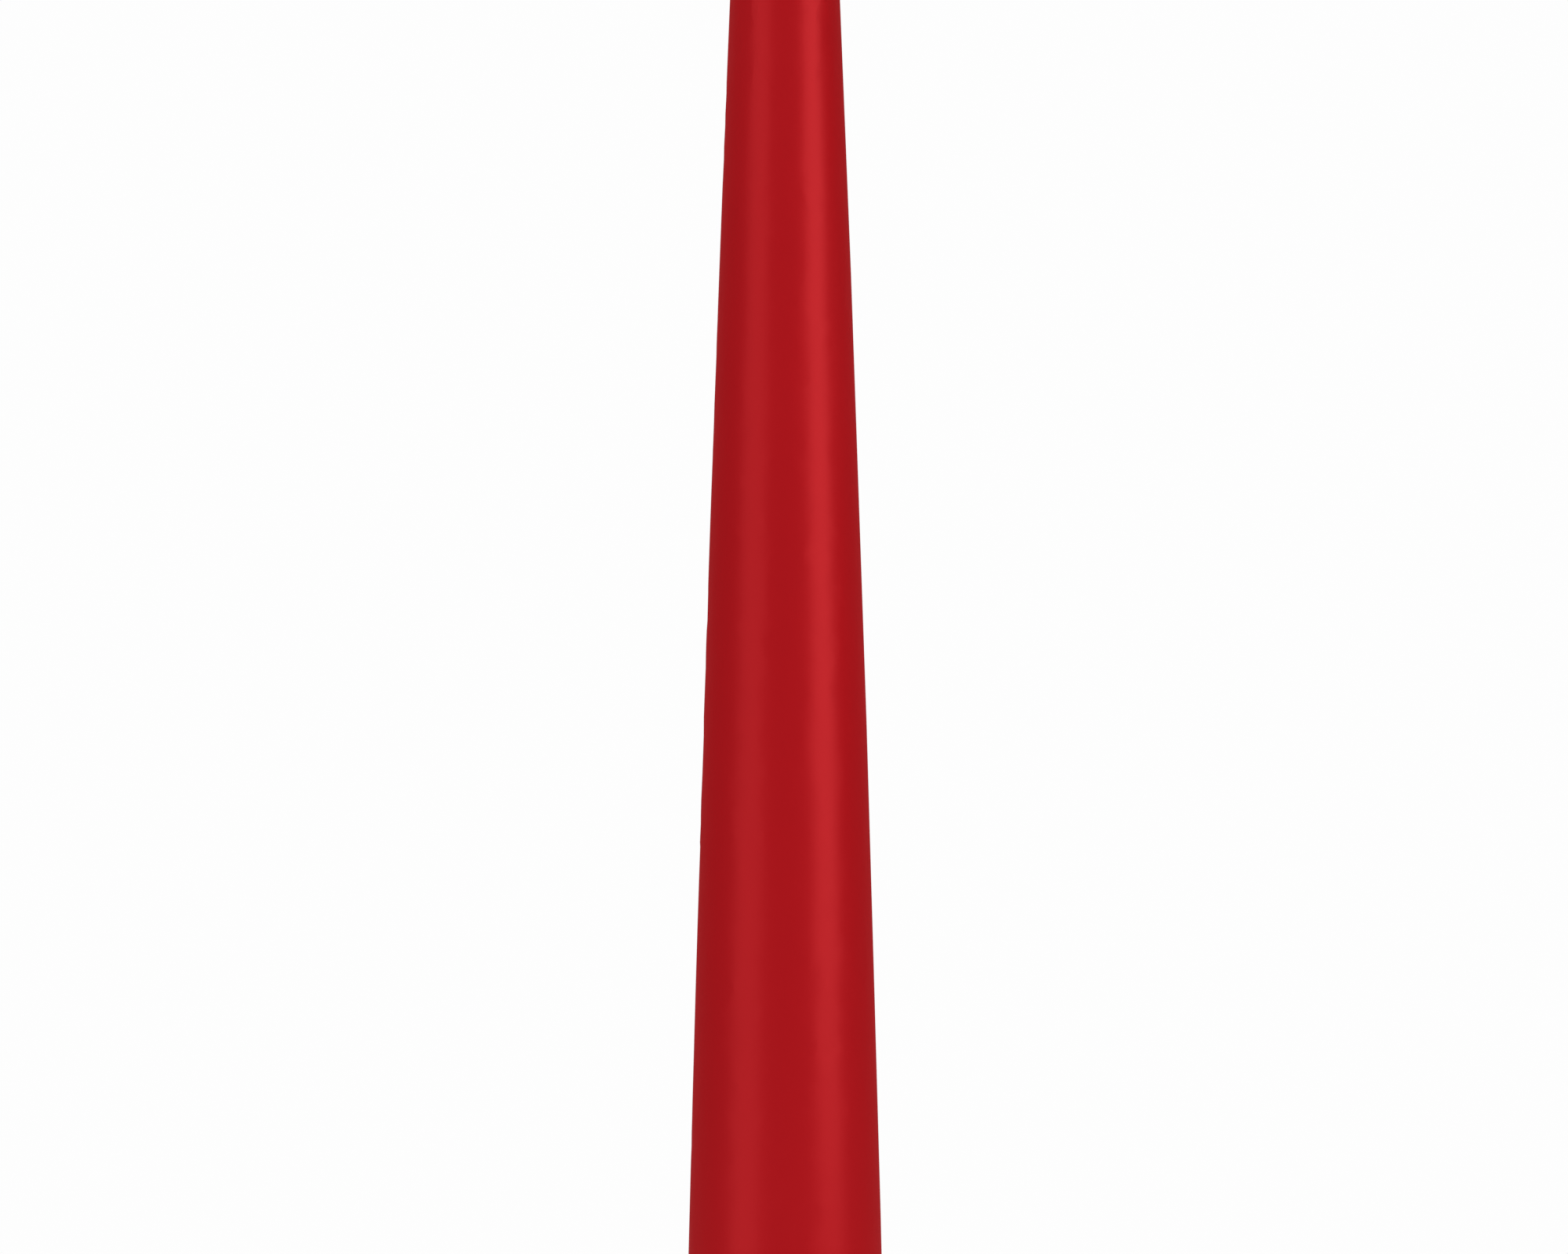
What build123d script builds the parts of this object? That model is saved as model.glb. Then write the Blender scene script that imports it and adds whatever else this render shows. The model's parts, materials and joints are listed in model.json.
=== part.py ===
from build123d import *
from math import cos, hypot, radians, sin
import os

# Heliport windsock with its pole: a tilt-down tapered mast, a ball-bearing swivel head, and a five-band
# sock laced to a hooped basket. Millimetres, +Z up. The origin is the centre of the foundation plate's
# underside, on the mast's axis. The sock leaves the mast towards +X and hangs limp. The mast is lowered
# towards -X.

# --- Driving dimensions: mast and base --------------------------------------------------------------------

# Mast: a spun tube, straight at the butt, then a convex parabola up to the top.
BUTT_R = 76.2
TOP_R = 30.15
MAST_TOP = 3000.0
BUTT_TOP = 871.0
MAST_WALL = 4.0

# Foundation plate, with a notch for the hinge.
PLATE = 380.0
PLATE_T = 20.0
PLATE_CORNER_R = 14.0
PLATE_EDGE = 1.5
ANCHOR_AT = 160.0
ANCHOR_R = 11.0
NOTCH_X, NOTCH_HALF = -125.0, 98.0

# Hinge: two lugs on the plate, the knuckle on the flange, and a pin with its washer and cotter.
HINGE_X, HINGE_Z = -152.0, 24.0
PIN_R = 10.0
PIN_HEAD_R, PIN_HEAD_T = 16.0, 8.0
PIN_HEAD_EDGE = 1.5
PIN_TAIL = 13.0
PIN_WASHER_R, PIN_WASHER_T = 17.0, 3.0
PIN_WASHER_GAP = 0.2
RUNNING = 0.05
KNUCKLE_R = 20.0
KNUCKLE_HALF = 55.0
LUG_R = 22.0
LUG_Y0, LUG_Y1 = 57.0, 75.0
LUG_FOOT_X, LUG_FOOT_Z = -180.0, 28.0
COTTER_R = 2.0
COTTER_UP, COTTER_DOWN = 14.0, 17.0
COTTER_FROM_WASHER = 4.5
COTTER_EYE_R, COTTER_EYE_WIRE_R = 4.0, 1.4
COTTER_EYE_UP = 17.2

# Flange and gussets on the mast's foot.
FLANGE = 240.0
FLANGE_T = 15.0
FLANGE_CORNER_R = 12.0
FLANGE_EDGE = 1.2
FLANGE_BORE_R = 60.2
GUSSET_T = 10.0
GUSSET_H = 110.0
GUSSET_TOE = 12.0
GUSSET_INSET = 6.0
GUSSET_TOP_W = 6.0

# Lock bolts, M16, that hold the flange down.
LOCK_AT = 95.0
LOCK_R = 8.0
LOCK_TAPPED_GAP, LOCK_CLEAR_GAP = 0.9, 0.75
LOCK_WASHER_R, LOCK_WASHER_T = 15.0, 3.0
LOCK_WASHER_GAP = 0.5
LOCK_TIP_Z, LOCK_TIP_EDGE = 6.0, 2.0
LOCK_HEX, LOCK_HEAD_T = 24.0, 10.0
LOCK_CONE = (16.5, 12.5, 10.4)

# --- Driving dimensions: swivel head ----------------------------------------------------------------------

# Plug in the mast's top, with the fixed spindle.
PLUG_DEPTH = 120.0
BORE_BELOW_PLUG = 5.0
COLLAR_T = 14.0
COLLAR_EDGE = 2.0
PLUG_SCREW_ANGLES = (45, 135, 225, 315)
PLUG_SCREW_R = 4.0
PLUG_SCREW_Z = 2962.0
PLUG_SCREW_TIP = 16.0
PLUG_SCREW_GAP = 0.2
BUTTON_SEAT, BUTTON_R, BUTTON_T = 0.4, 7.0, 4.4
BUTTON_ROUND = 2.6
SOCKET_R, SOCKET_FLOOR = 2.5, 1.8
CROSS_PIN_R, CROSS_PIN_HALF = 4.0, 25.0
CROSS_PIN_Z = 2905.0
SPINDLE_Z0 = 2885.0
SPINDLE_R = 12.5
SHOULDER_R = 15.5
THREAD_R = 12.0
SPINDLE_WASHER_R, SPINDLE_WASHER_T = 17.0, 2.5
SPINDLE_HEX, SPINDLE_NUT_T = 36.0, 11.0
SPINDLE_NUT_CONE = (23.0, 19.5, 12.0)

# Swivel tube, which turns on two ball bearings of 25 x 52 x 15 mm.
SWIVEL_Z0, SWIVEL_Z1 = 3018.0, 3710.0
SWIVEL_BORE_R = 24.15
SEAT_R = 26.0
SEAT_DEPTH = 30.0
SEAT_STEP = 2.0
BEARING_T = 15.0
INNER_RING_R, OUTER_RING_R = 16.6, 21.9
BALL_PITCH_R = 19.25
BALL_R = 3.97
BALL_GAP = 0.08
BALLS = 9
CIRCLIP_T = 1.75
CIRCLIP_GAP = 0.2
CIRCLIP_GROOVE_R, CIRCLIP_INNER_R = 27.4, 22.4
CIRCLIP_OPEN_HALF = 3.5
SEAL_T, SEAL_UP, SEAL_GAP = 7.0, 1.5, 0.08
CAP_R, CAP_DOME, CAP_SKIRT = 32.5, 13.0, 6.0

# --- Driving dimensions: basket and sock ------------------------------------------------------------------

# Sock: five bands of one cone. The first two are on the basket, and the others fold down from it.
SOCK_X0 = 66.0
SOCK_Z = 3371.0
BAND_L = 480.0
BANDS = 5
BASKET_BANDS = 2
THROAT_R, TAIL_R = 300.0, 150.0
CLOTH = 2.0
SEAM_GAP = 3.0
HEM, HEM_EXTRA = 40.0, 1.0
TAIL_HEM, TAIL_HEM_EXTRA = 25.0, 0.5
DROOP = (34.0, 22.0, 14.0)

# Basket: three hoops and six rods.
THROAT_HOOP_X = 50.0
REAR_HOOP_FROM_SEAM = 7.0
THROAT_TUBE_R, HOOP_TUBE_R = 6.0, 5.0
ROD_R = 4.0
HOOP_TO_CLOTH = 11.0
WELD_GAP = 0.1
SIDE_ROD_ANGLES = (30, 150, 210, 330)
TOP_ANGLE, BOTTOM_ANGLE = 90, 270

# Brackets: a collar on the swivel tube with a lug that a hoop is brazed into, and a locking screw.
BRACKET_FACE_X = 64.0
BRACKET_HALF_H = 18.0
BRACKET_WALL = 8.0
BRACKET_EDGE = 1.5
LUG_START_X, LUG_HALF_W = 20.0, 12.0
LUG_BEYOND, LUG_INSIDE = 12.0, 17.0
LUG_CORNER_R = 4.0
BRACKET_SCREW_R = 4.0
BRACKET_HEX, BRACKET_HEAD_T = 13.0, 5.5
BRACKET_ROD_GAP = 0.3

# Ties: twelve loops of cord round the throat hoop and through brass grommets in the hem.
TIES = 12
TIE_X = 62.0
TIE_R, TIE_THICK_R = 21.0, 1.8
TIE_INSET = 1.0
GROMMET_BORE_R, GROMMET_BARREL_R, GROMMET_RIM_R = 4.5, 5.5, 9.0
GROMMET_RIM_T = 1.2

# --- Worked out -------------------------------------------------------------------------------------------

THROUGH = 1.0
FAR = 2000.0
FLANGE_Z1 = PLATE_T + FLANGE_T
COTTER_Y = LUG_Y1 + PIN_WASHER_T + COTTER_FROM_WASHER
TAPER_L = MAST_TOP - BUTT_TOP
COLLAR_Z1 = MAST_TOP + COLLAR_T
LOWER_BEARING_Z = SWIVEL_Z0 + SEAT_DEPTH - BEARING_T - SEAT_STEP
UPPER_BEARING_Z = SWIVEL_Z1 - SEAT_DEPTH
UPPER_BEARING_Z1 = UPPER_BEARING_Z + BEARING_T
BRACKET_BACK_X = -TOP_R - BRACKET_WALL
SOCK_SLOPE = (THROAT_R - TAIL_R) / (BANDS * BAND_L)
GROMMET_X = TIE_X + TIE_R
ALONG_X = Rot(0, 90, 0)
ALONG_Y = Rot(-90, 0, 0)
FROM_BASE = (Align.CENTER, Align.CENTER, Align.MIN)


def mast_radius(z):
    """The mast's outer radius at a height."""
    rise = max(0.0, z - BUTT_TOP) / TAPER_L
    return BUTT_R - (BUTT_R - TOP_R) * rise**2


def cloth_radius(x):
    """The sock's inner radius, with the sock held straight out."""
    return THROAT_R - SOCK_SLOPE * (x - SOCK_X0)


def seam_x(k):
    """Where band k ends, with the sock held straight out."""
    return SOCK_X0 + k * BAND_L


def hoop_radius(x, tube_r):
    """A hoop's centreline radius: every hoop's inner edge lies on one cone, which the rods follow."""
    return cloth_radius(x) - HOOP_TO_CLOTH + tube_r


TIE_CENTRE_R = cloth_radius(GROMMET_X) - TIE_INSET
REAR_HOOP_X = seam_x(BASKET_BANDS) - REAR_HOOP_FROM_SEAM
ROD_END_X = REAR_HOOP_X + HOOP_TUBE_R


def rod_z(r, z0, z1, x=0.0, y=0.0):
    return Pos(x, y, z0) * Cylinder(r, z1 - z0, align=FROM_BASE)


def rod_y(r, y0, y1, x, z):
    return Pos(x, y0, z) * ALONG_Y * Cylinder(r, y1 - y0, align=FROM_BASE)


def tube_z(outer_r, inner_r, z0, z1, x=0.0, y=0.0):
    """A plain ring or tube along Z."""
    return rod_z(outer_r, z0, z1, x, y) - rod_z(inner_r, z0, z1, x, y)


def block(x0, x1, y0, y1, z0, z1):
    return Pos((x0 + x1) / 2, (y0 + y1) / 2, (z0 + z1) / 2) * Box(x1 - x0, y1 - y0, z1 - z0)


def hexagon(across_flats):
    return RegularPolygon(across_flats / 2 / cos(radians(30)), 6)


def turned_hexagon(across_flats, height, cone, z0):
    """A hexagon along Z, its top corners turned off by a cone of (base radius, top radius, height)."""
    prism = Pos(0, 0, z0) * extrude(hexagon(across_flats), height)
    return prism & Pos(0, 0, z0) * Cone(*cone, align=FROM_BASE)


def group(solids):
    return Compound(children=list(solids))


def around_sock(shape, angle):
    """Turns a shape made at the sock's side (+Y) round the sock's axis. 90 degrees is the top."""
    return shape.rotate(Axis((0, 0, SOCK_Z), (1, 0, 0)), angle)


# --- Base -------------------------------------------------------------------------------------------------


def foundation_plate():
    half = PLATE / 2
    plate = block(-half, half, -half, half, 0, PLATE_T)
    plate = fillet(plate.edges().filter_by(Axis.Z), PLATE_CORNER_R)
    plate -= block(-PLATE, NOTCH_X, -NOTCH_HALF, NOTCH_HALF, -THROUGH, PLATE_T + THROUGH)
    for x in (-ANCHOR_AT, ANCHOR_AT):
        for y in (-ANCHOR_AT, ANCHOR_AT):
            plate -= rod_z(ANCHOR_R, -THROUGH, PLATE_T + THROUGH, x, y)
    for y in (-LOCK_AT, LOCK_AT):
        plate -= rod_z(LOCK_R + LOCK_TAPPED_GAP, -THROUGH, PLATE_T + THROUGH, LOCK_AT, y)
    return chamfer(plate.edges().group_by(Axis.Z)[-1].filter_by(GeomType.LINE), PLATE_EDGE)


def hinge_lug(side):
    """One of the two ears that hold the hinge pin, welded into the plate's notch."""
    y0, y1 = sorted((side * LUG_Y0, side * LUG_Y1))
    lug = block(LUG_FOOT_X, NOTCH_X, y0, y1, 0, LUG_FOOT_Z) + rod_y(LUG_R, y0, y1, HINGE_X, HINGE_Z)
    return lug - rod_y(PIN_R + RUNNING, y0 - THROUGH, y1 + THROUGH, HINGE_X, HINGE_Z)


def cotter_bar():
    return rod_z(COTTER_R, HINGE_Z - COTTER_DOWN, HINGE_Z + COTTER_UP, HINGE_X, COTTER_Y)


def hinge_pin():
    pin = rod_y(PIN_R, -LUG_Y1, LUG_Y1 + PIN_TAIL, HINGE_X, HINGE_Z)
    head = rod_y(PIN_HEAD_R, -LUG_Y1 - PIN_HEAD_T, -LUG_Y1, HINGE_X, HINGE_Z)
    head = chamfer(head.edges().group_by(Axis.Y)[0], PIN_HEAD_EDGE)
    return pin + head - cotter_bar()


def split_pin():
    """The cotter through the hinge pin's tail: a straight shank with its eye on top."""
    eye = Torus(COTTER_EYE_R, COTTER_EYE_WIRE_R)
    return cotter_bar() + Pos(HINGE_X, COTTER_Y, HINGE_Z + COTTER_EYE_UP) * Rot(90, 0, 0) * eye


def hinge_pin_washer():
    y0, y1 = LUG_Y1, LUG_Y1 + PIN_WASHER_T
    bore_r = PIN_R + PIN_WASHER_GAP
    return rod_y(PIN_WASHER_R, y0, y1, HINGE_X, HINGE_Z) - rod_y(bore_r, y0, y1, HINGE_X, HINGE_Z)


# --- Mast -------------------------------------------------------------------------------------------------


def parabola(base_r, top_r, z0, z1):
    """The taper's outline: vertical where it leaves the butt, so one quadratic Bezier is exact."""
    return Bezier((base_r, 0, z0), (base_r, 0, (z0 + z1) / 2), (top_r, 0, z1))


def mast():
    bore_z = MAST_TOP - PLUG_DEPTH - BORE_BELOW_PLUG
    inner_r = mast_radius(bore_z) - MAST_WALL
    bore_r = TOP_R - MAST_WALL
    outline = [
        Line((BUTT_R, 0, FLANGE_Z1), (BUTT_R, 0, BUTT_TOP)),
        parabola(BUTT_R, TOP_R, BUTT_TOP, MAST_TOP),
        Line((TOP_R, 0, MAST_TOP), (bore_r, 0, MAST_TOP)),
        Line((bore_r, 0, MAST_TOP), (bore_r, 0, bore_z)),
        Line((bore_r, 0, bore_z), (inner_r, 0, bore_z)),
        parabola(BUTT_R - MAST_WALL, inner_r, BUTT_TOP, bore_z),
        Line((BUTT_R - MAST_WALL, 0, BUTT_TOP), (BUTT_R - MAST_WALL, 0, FLANGE_Z1)),
        Line((BUTT_R - MAST_WALL, 0, FLANGE_Z1), (BUTT_R, 0, FLANGE_Z1)),
    ]
    tube = revolve(make_face(outline), Axis.Z)
    for angle in PLUG_SCREW_ANGLES:
        tube -= plug_screw_hole(PLUG_SCREW_R + PLUG_SCREW_GAP, angle)
    return tube


def mast_flange():
    half = FLANGE / 2
    flange = block(-half, half, -half, half, PLATE_T, FLANGE_Z1)
    flange = fillet(flange.edges().filter_by(Axis.Z), FLANGE_CORNER_R)
    flange -= rod_z(FLANGE_BORE_R, 0, FLANGE_Z1 + THROUGH)
    for y in (-LOCK_AT, LOCK_AT):
        flange -= rod_z(LOCK_R + LOCK_CLEAR_GAP, 0, FLANGE_Z1 + THROUGH, LOCK_AT, y)
    return chamfer(flange.edges().group_by(Axis.Z)[-1].filter_by(GeomType.LINE), FLANGE_EDGE)


def gusset(angle):
    """A triangular rib between the mast's butt and its flange."""
    reach = FLANGE / 2 - GUSSET_INSET
    inner = BUTT_R - MAST_WALL
    outline = Polyline(
        (inner, 0, FLANGE_Z1),
        (reach, 0, FLANGE_Z1),
        (reach, 0, FLANGE_Z1 + GUSSET_TOE),
        (BUTT_R + GUSSET_TOP_W, 0, FLANGE_Z1 + GUSSET_H),
        (inner, 0, FLANGE_Z1 + GUSSET_H),
        close=True,
    )
    rib = extrude(make_face(outline), GUSSET_T / 2, both=True, dir=(0, 1, 0))
    rib -= rod_z(BUTT_R, 0, FLANGE_Z1 + GUSSET_H + THROUGH)
    return rib.rotate(Axis.Z, angle)


def hinge_knuckle():
    """The barrel between the lugs, with the web that joins it to the flange's edge."""
    half = KNUCKLE_HALF
    barrel = rod_y(KNUCKLE_R, -half, half, HINGE_X, HINGE_Z)
    web = block(HINGE_X, -FLANGE / 2, -half, half, HINGE_Z, FLANGE_Z1)
    return barrel + web - rod_y(PIN_R + RUNNING, -half - THROUGH, half + THROUGH, HINGE_X, HINGE_Z)


def lock_bolt(y):
    head_z = FLANGE_Z1 + LOCK_WASHER_T
    bolt = rod_z(LOCK_R, LOCK_TIP_Z, head_z) + turned_hexagon(LOCK_HEX, LOCK_HEAD_T, LOCK_CONE, head_z)
    bolt = chamfer(bolt.edges().group_by(Axis.Z)[0], LOCK_TIP_EDGE)
    return Pos(LOCK_AT, y, 0) * bolt


def lock_washer(y):
    bore_r = LOCK_R + LOCK_WASHER_GAP
    return tube_z(LOCK_WASHER_R, bore_r, FLANGE_Z1, FLANGE_Z1 + LOCK_WASHER_T, LOCK_AT, y)


# --- Spindle, fixed in the top of the mast ----------------------------------------------------------------


def radial(r, start, end, z, angle):
    """A cylinder that points out from the mast's axis."""
    bar = Pos(start, 0, z) * ALONG_X * Cylinder(r, end - start, align=FROM_BASE)
    return bar.rotate(Axis.Z, angle)


def plug_screw_hole(r, angle):
    return radial(r, PLUG_SCREW_TIP - THROUGH, BUTT_R, PLUG_SCREW_Z, angle)


def cross_pin_hole():
    return radial(CROSS_PIN_R, -TOP_R, TOP_R, CROSS_PIN_Z, 0)


def mast_plug():
    """The turned plug that closes the mast and holds the spindle."""
    plug = rod_z(TOP_R - MAST_WALL, MAST_TOP - PLUG_DEPTH, MAST_TOP) + rod_z(TOP_R, MAST_TOP, COLLAR_Z1)
    plug = chamfer(plug.edges().group_by(Axis.Z)[-1], COLLAR_EDGE)
    plug -= rod_z(SPINDLE_R, SPINDLE_Z0, COLLAR_Z1 + THROUGH)
    plug -= cross_pin_hole()
    for angle in PLUG_SCREW_ANGLES:
        plug -= plug_screw_hole(PLUG_SCREW_R, angle)
    return plug


def plug_screw(angle):
    """A button-head socket screw through the mast's wall into the plug."""
    seat = mast_radius(PLUG_SCREW_Z) + BUTTON_SEAT
    shank = radial(PLUG_SCREW_R, PLUG_SCREW_TIP, seat, PLUG_SCREW_Z, angle)
    head = radial(BUTTON_R, seat, seat + BUTTON_T, PLUG_SCREW_Z, angle)
    circles = head.edges().filter_by(GeomType.CIRCLE)
    outer_rim = circles.sort_by(lambda edge: hypot(edge.center().X, edge.center().Y))[-1]
    head = fillet(outer_rim, BUTTON_ROUND)
    socket = radial(SOCKET_R, seat + SOCKET_FLOOR, seat + BUTTON_T + THROUGH, PLUG_SCREW_Z, angle)
    return shank + head - socket


def spindle():
    shaft = rod_z(SPINDLE_R, SPINDLE_Z0, UPPER_BEARING_Z1)
    shaft += rod_z(SHOULDER_R, COLLAR_Z1, LOWER_BEARING_Z)
    shaft += rod_z(THREAD_R, UPPER_BEARING_Z1, UPPER_BEARING_Z1 + SPINDLE_WASHER_T + SPINDLE_NUT_T)
    return shaft - cross_pin_hole()


def spindle_cross_pin():
    return radial(CROSS_PIN_R, -CROSS_PIN_HALF, CROSS_PIN_HALF, CROSS_PIN_Z, 0)


def bearing_spacer():
    """The sleeve that sets the two bearings' inner rings apart."""
    return tube_z(SHOULDER_R, SPINDLE_R, LOWER_BEARING_Z + BEARING_T, UPPER_BEARING_Z)


def spindle_washer():
    return tube_z(SPINDLE_WASHER_R, THREAD_R, UPPER_BEARING_Z1, UPPER_BEARING_Z1 + SPINDLE_WASHER_T)


def spindle_nut():
    z0 = UPPER_BEARING_Z1 + SPINDLE_WASHER_T
    nut = turned_hexagon(SPINDLE_HEX, SPINDLE_NUT_T, SPINDLE_NUT_CONE, z0)
    return nut - rod_z(THREAD_R, z0 - THROUGH, z0 + SPINDLE_NUT_T + THROUGH)


def bearing_track(z):
    return Pos(0, 0, z + BEARING_T / 2) * Torus(BALL_PITCH_R, BALL_R + BALL_GAP)


def bearing_inner_ring(z):
    return tube_z(INNER_RING_R, SPINDLE_R, z, z + BEARING_T) - bearing_track(z)


def bearing_outer_ring(z):
    return tube_z(SEAT_R, OUTER_RING_R, z, z + BEARING_T) - bearing_track(z)


def bearing_balls(z):
    step = 360 / BALLS
    one = Pos(BALL_PITCH_R, 0, z + BEARING_T / 2) * Sphere(BALL_R)
    return group(one.rotate(Axis.Z, i * step) for i in range(BALLS))


# --- Swivel tube ------------------------------------------------------------------------------------------


def circlip_z(upper):
    return UPPER_BEARING_Z1 + CIRCLIP_GAP if upper else LOWER_BEARING_Z - CIRCLIP_T - CIRCLIP_GAP


def swivel_tube():
    tube = rod_z(TOP_R, SWIVEL_Z0, SWIVEL_Z1)
    tube -= rod_z(SWIVEL_BORE_R, SWIVEL_Z0 - THROUGH, SWIVEL_Z1 + THROUGH)
    tube -= rod_z(SEAT_R, SWIVEL_Z0 - THROUGH, LOWER_BEARING_Z + BEARING_T)
    tube -= rod_z(SEAT_R, UPPER_BEARING_Z, SWIVEL_Z1 + THROUGH)
    for upper in (False, True):
        z = circlip_z(upper)
        tube -= rod_z(CIRCLIP_GROOVE_R, z, z + CIRCLIP_T)
    return tube


def circlip(upper):
    """An open spring ring that keeps a bearing in its seat."""
    z, half = circlip_z(upper), CIRCLIP_OPEN_HALF
    ring = tube_z(CIRCLIP_GROOVE_R - WELD_GAP, CIRCLIP_INNER_R, z, z + CIRCLIP_T)
    return ring - block(0, CAP_R, -half, half, z - THROUGH, z + CIRCLIP_T + THROUGH)


def lip_seal():
    z0 = SWIVEL_Z0 + SEAL_UP
    return tube_z(SEAT_R, SHOULDER_R + SEAL_GAP, z0, z0 + SEAL_T)


def top_cap():
    """The weather cap, a shallow dome with a spigot in the tube's mouth."""
    top = SWIVEL_Z1 + CAP_SKIRT + CAP_DOME
    sphere_r = (CAP_R**2 + CAP_DOME**2) / (2 * CAP_DOME)
    cap = Pos(0, 0, top - sphere_r) * Sphere(sphere_r) & rod_z(CAP_R, SWIVEL_Z1, top)
    spigot_z = circlip_z(True) + CIRCLIP_T + THROUGH
    return cap + tube_z(SEAT_R - RUNNING, CIRCLIP_INNER_R, spigot_z, SWIVEL_Z1)


# --- Basket -----------------------------------------------------------------------------------------------


def hoop(x, tube_r):
    return Pos(x, 0, SOCK_Z) * ALONG_X * Torus(hoop_radius(x, tube_r), tube_r)


def throat_hoop():
    return hoop(THROAT_HOOP_X, THROAT_TUBE_R)


def basket_rod(angle, x0):
    """A straight rod under the hoops, along the cone, from x0 to the rear hoop."""
    inset = HOOP_TO_CLOTH + ROD_R + WELD_GAP
    start = Vector(x0, cloth_radius(x0) - inset, SOCK_Z)
    end = Vector(ROD_END_X, cloth_radius(ROD_END_X) - inset, SOCK_Z)
    line = Plane(origin=start, z_dir=end - start)
    rod = line * Cylinder(ROD_R, (end - start).length, align=FROM_BASE)
    return around_sock(rod, angle)


def bracket_z(side):
    """A bracket's height: side is 1 for the upper one, -1 for the lower one."""
    return SOCK_Z + side * hoop_radius(THROAT_HOOP_X, THROAT_TUBE_R)


def bracket_bar(side, x0):
    """The locking screw's shank, from x0 in to the swivel tube."""
    bar = Cylinder(BRACKET_SCREW_R, -TOP_R - x0, align=FROM_BASE)
    return Pos(x0, 0, bracket_z(side)) * ALONG_X * bar


def hoop_bracket(side):
    """A collar on the swivel tube with a lug that the throat hoop is brazed into."""
    z = bracket_z(side)
    collar = rod_z(TOP_R + BRACKET_WALL, z - BRACKET_HALF_H, z + BRACKET_HALF_H)
    collar = chamfer(collar.edges().filter_by(GeomType.CIRCLE), BRACKET_EDGE)
    z0, z1 = sorted((z + side * LUG_BEYOND, z - side * LUG_INSIDE))
    lug = block(LUG_START_X, BRACKET_FACE_X, -LUG_HALF_W, LUG_HALF_W, z0, z1)
    lug = fillet(lug.edges().filter_by(Axis.X), LUG_CORNER_R)
    tube = rod_z(TOP_R, z - 2 * BRACKET_HALF_H, z + 2 * BRACKET_HALF_H)
    return collar + lug - tube - throat_hoop() - bracket_bar(side, BRACKET_BACK_X - THROUGH)


def bracket_screw(side):
    """A hex screw at the collar's back that locks it on the tube."""
    head = extrude(hexagon(BRACKET_HEX), BRACKET_HEAD_T)
    placed = Pos(BRACKET_BACK_X, 0, bracket_z(side)) * Rot(0, -90, 0) * head
    return bracket_bar(side, BRACKET_BACK_X) + placed


# --- Sock -------------------------------------------------------------------------------------------------


def cone_shell(x0, x1, inset=0.0, thick=CLOTH):
    """A ring of the sock's cone between two places along its axis, with the sock held straight out."""
    r0, r1 = cloth_radius(x0) - inset, cloth_radius(x1) - inset
    outer = Cone(r0 + thick, r1 + thick, x1 - x0, align=FROM_BASE)
    inner = Cone(r0, r1, x1 - x0, align=FROM_BASE)
    return Pos(x0, 0, SOCK_Z) * ALONG_X * (outer - inner)


def fold_point(k):
    """The fold line at the top of seam k, with the sock held straight out."""
    x = seam_x(k)
    return Vector(x + SEAM_GAP / 2, 0, SOCK_Z + cloth_radius(x) + CLOTH)


def hung(shape, band):
    """Moves a piece of a free band from straight out to hanging, and trims it clear of the one before."""
    for k in range(band - 1, BASKET_BANDS - 1, -1):
        fold = fold_point(k)
        shape = shape.rotate(Axis(fold, (0, 1, 0)), DROOP[k - BASKET_BANDS])
        if k == band - 1:
            shape -= block(-FAR, fold.X, -FAR, FAR, SOCK_Z - FAR, SOCK_Z + FAR)
    return shape


def hung_point(point, last_fold):
    """Where a point beyond fold number last_fold is when the sock hangs."""
    for k in range(last_fold, BASKET_BANDS - 1, -1):
        fold, a = fold_point(k), radians(DROOP[k - BASKET_BANDS])
        x, z = point.X - fold.X, point.Z - fold.Z
        point = Vector(fold.X + x * cos(a) + z * sin(a), point.Y, fold.Z - x * sin(a) + z * cos(a))
    return point


def tie_angles():
    step = 360 / TIES
    return [step / 2 + i * step for i in range(TIES)]


def grommet_bar(r, reach):
    """A cylinder through the hem at a grommet, made at the sock's side."""
    centre = cloth_radius(GROMMET_X) + CLOTH / 2
    return rod_y(r, centre - reach, centre + reach, GROMMET_X, SOCK_Z)


def hem_shell():
    return cone_shell(SOCK_X0, SOCK_X0 + HEM, inset=HEM_EXTRA, thick=CLOTH + 2 * HEM_EXTRA)


def throat_hem():
    """The doubled webbing hem that carries the grommets."""
    hem = hem_shell()
    for angle in tie_angles():
        hem -= around_sock(grommet_bar(GROMMET_BARREL_R, TIE_R), angle)
    return hem


def grommet(angle):
    rim_half = CLOTH / 2 + HEM_EXTRA + GROMMET_RIM_T
    barrel = grommet_bar(GROMMET_RIM_R, rim_half) - grommet_bar(GROMMET_BORE_R, rim_half + THROUGH)
    return around_sock(barrel - (hem_shell() - grommet_bar(GROMMET_BARREL_R, TIE_R)), angle)


def sock_tie(angle):
    """A nylon tie round the throat hoop and through a grommet."""
    ring = Pos(TIE_X, TIE_CENTRE_R, SOCK_Z) * Torus(TIE_R, TIE_THICK_R)
    return around_sock(ring, angle)


def sock_band(band):
    x0 = seam_x(band - 1)
    if band == 1:
        x0 += HEM
    if band > BASKET_BANDS:
        x0 += SEAM_GAP
    x1 = seam_x(band) - (TAIL_HEM if band == BANDS else 0)
    return hung(cone_shell(x0, x1), band)


def tail_hem():
    x1 = seam_x(BANDS)
    ring = cone_shell(x1 - TAIL_HEM, x1, inset=TAIL_HEM_EXTRA, thick=CLOTH + 2 * TAIL_HEM_EXTRA)
    return hung(ring, BANDS)


# --- Every sub-part, by node ------------------------------------------------------------------------------


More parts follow.
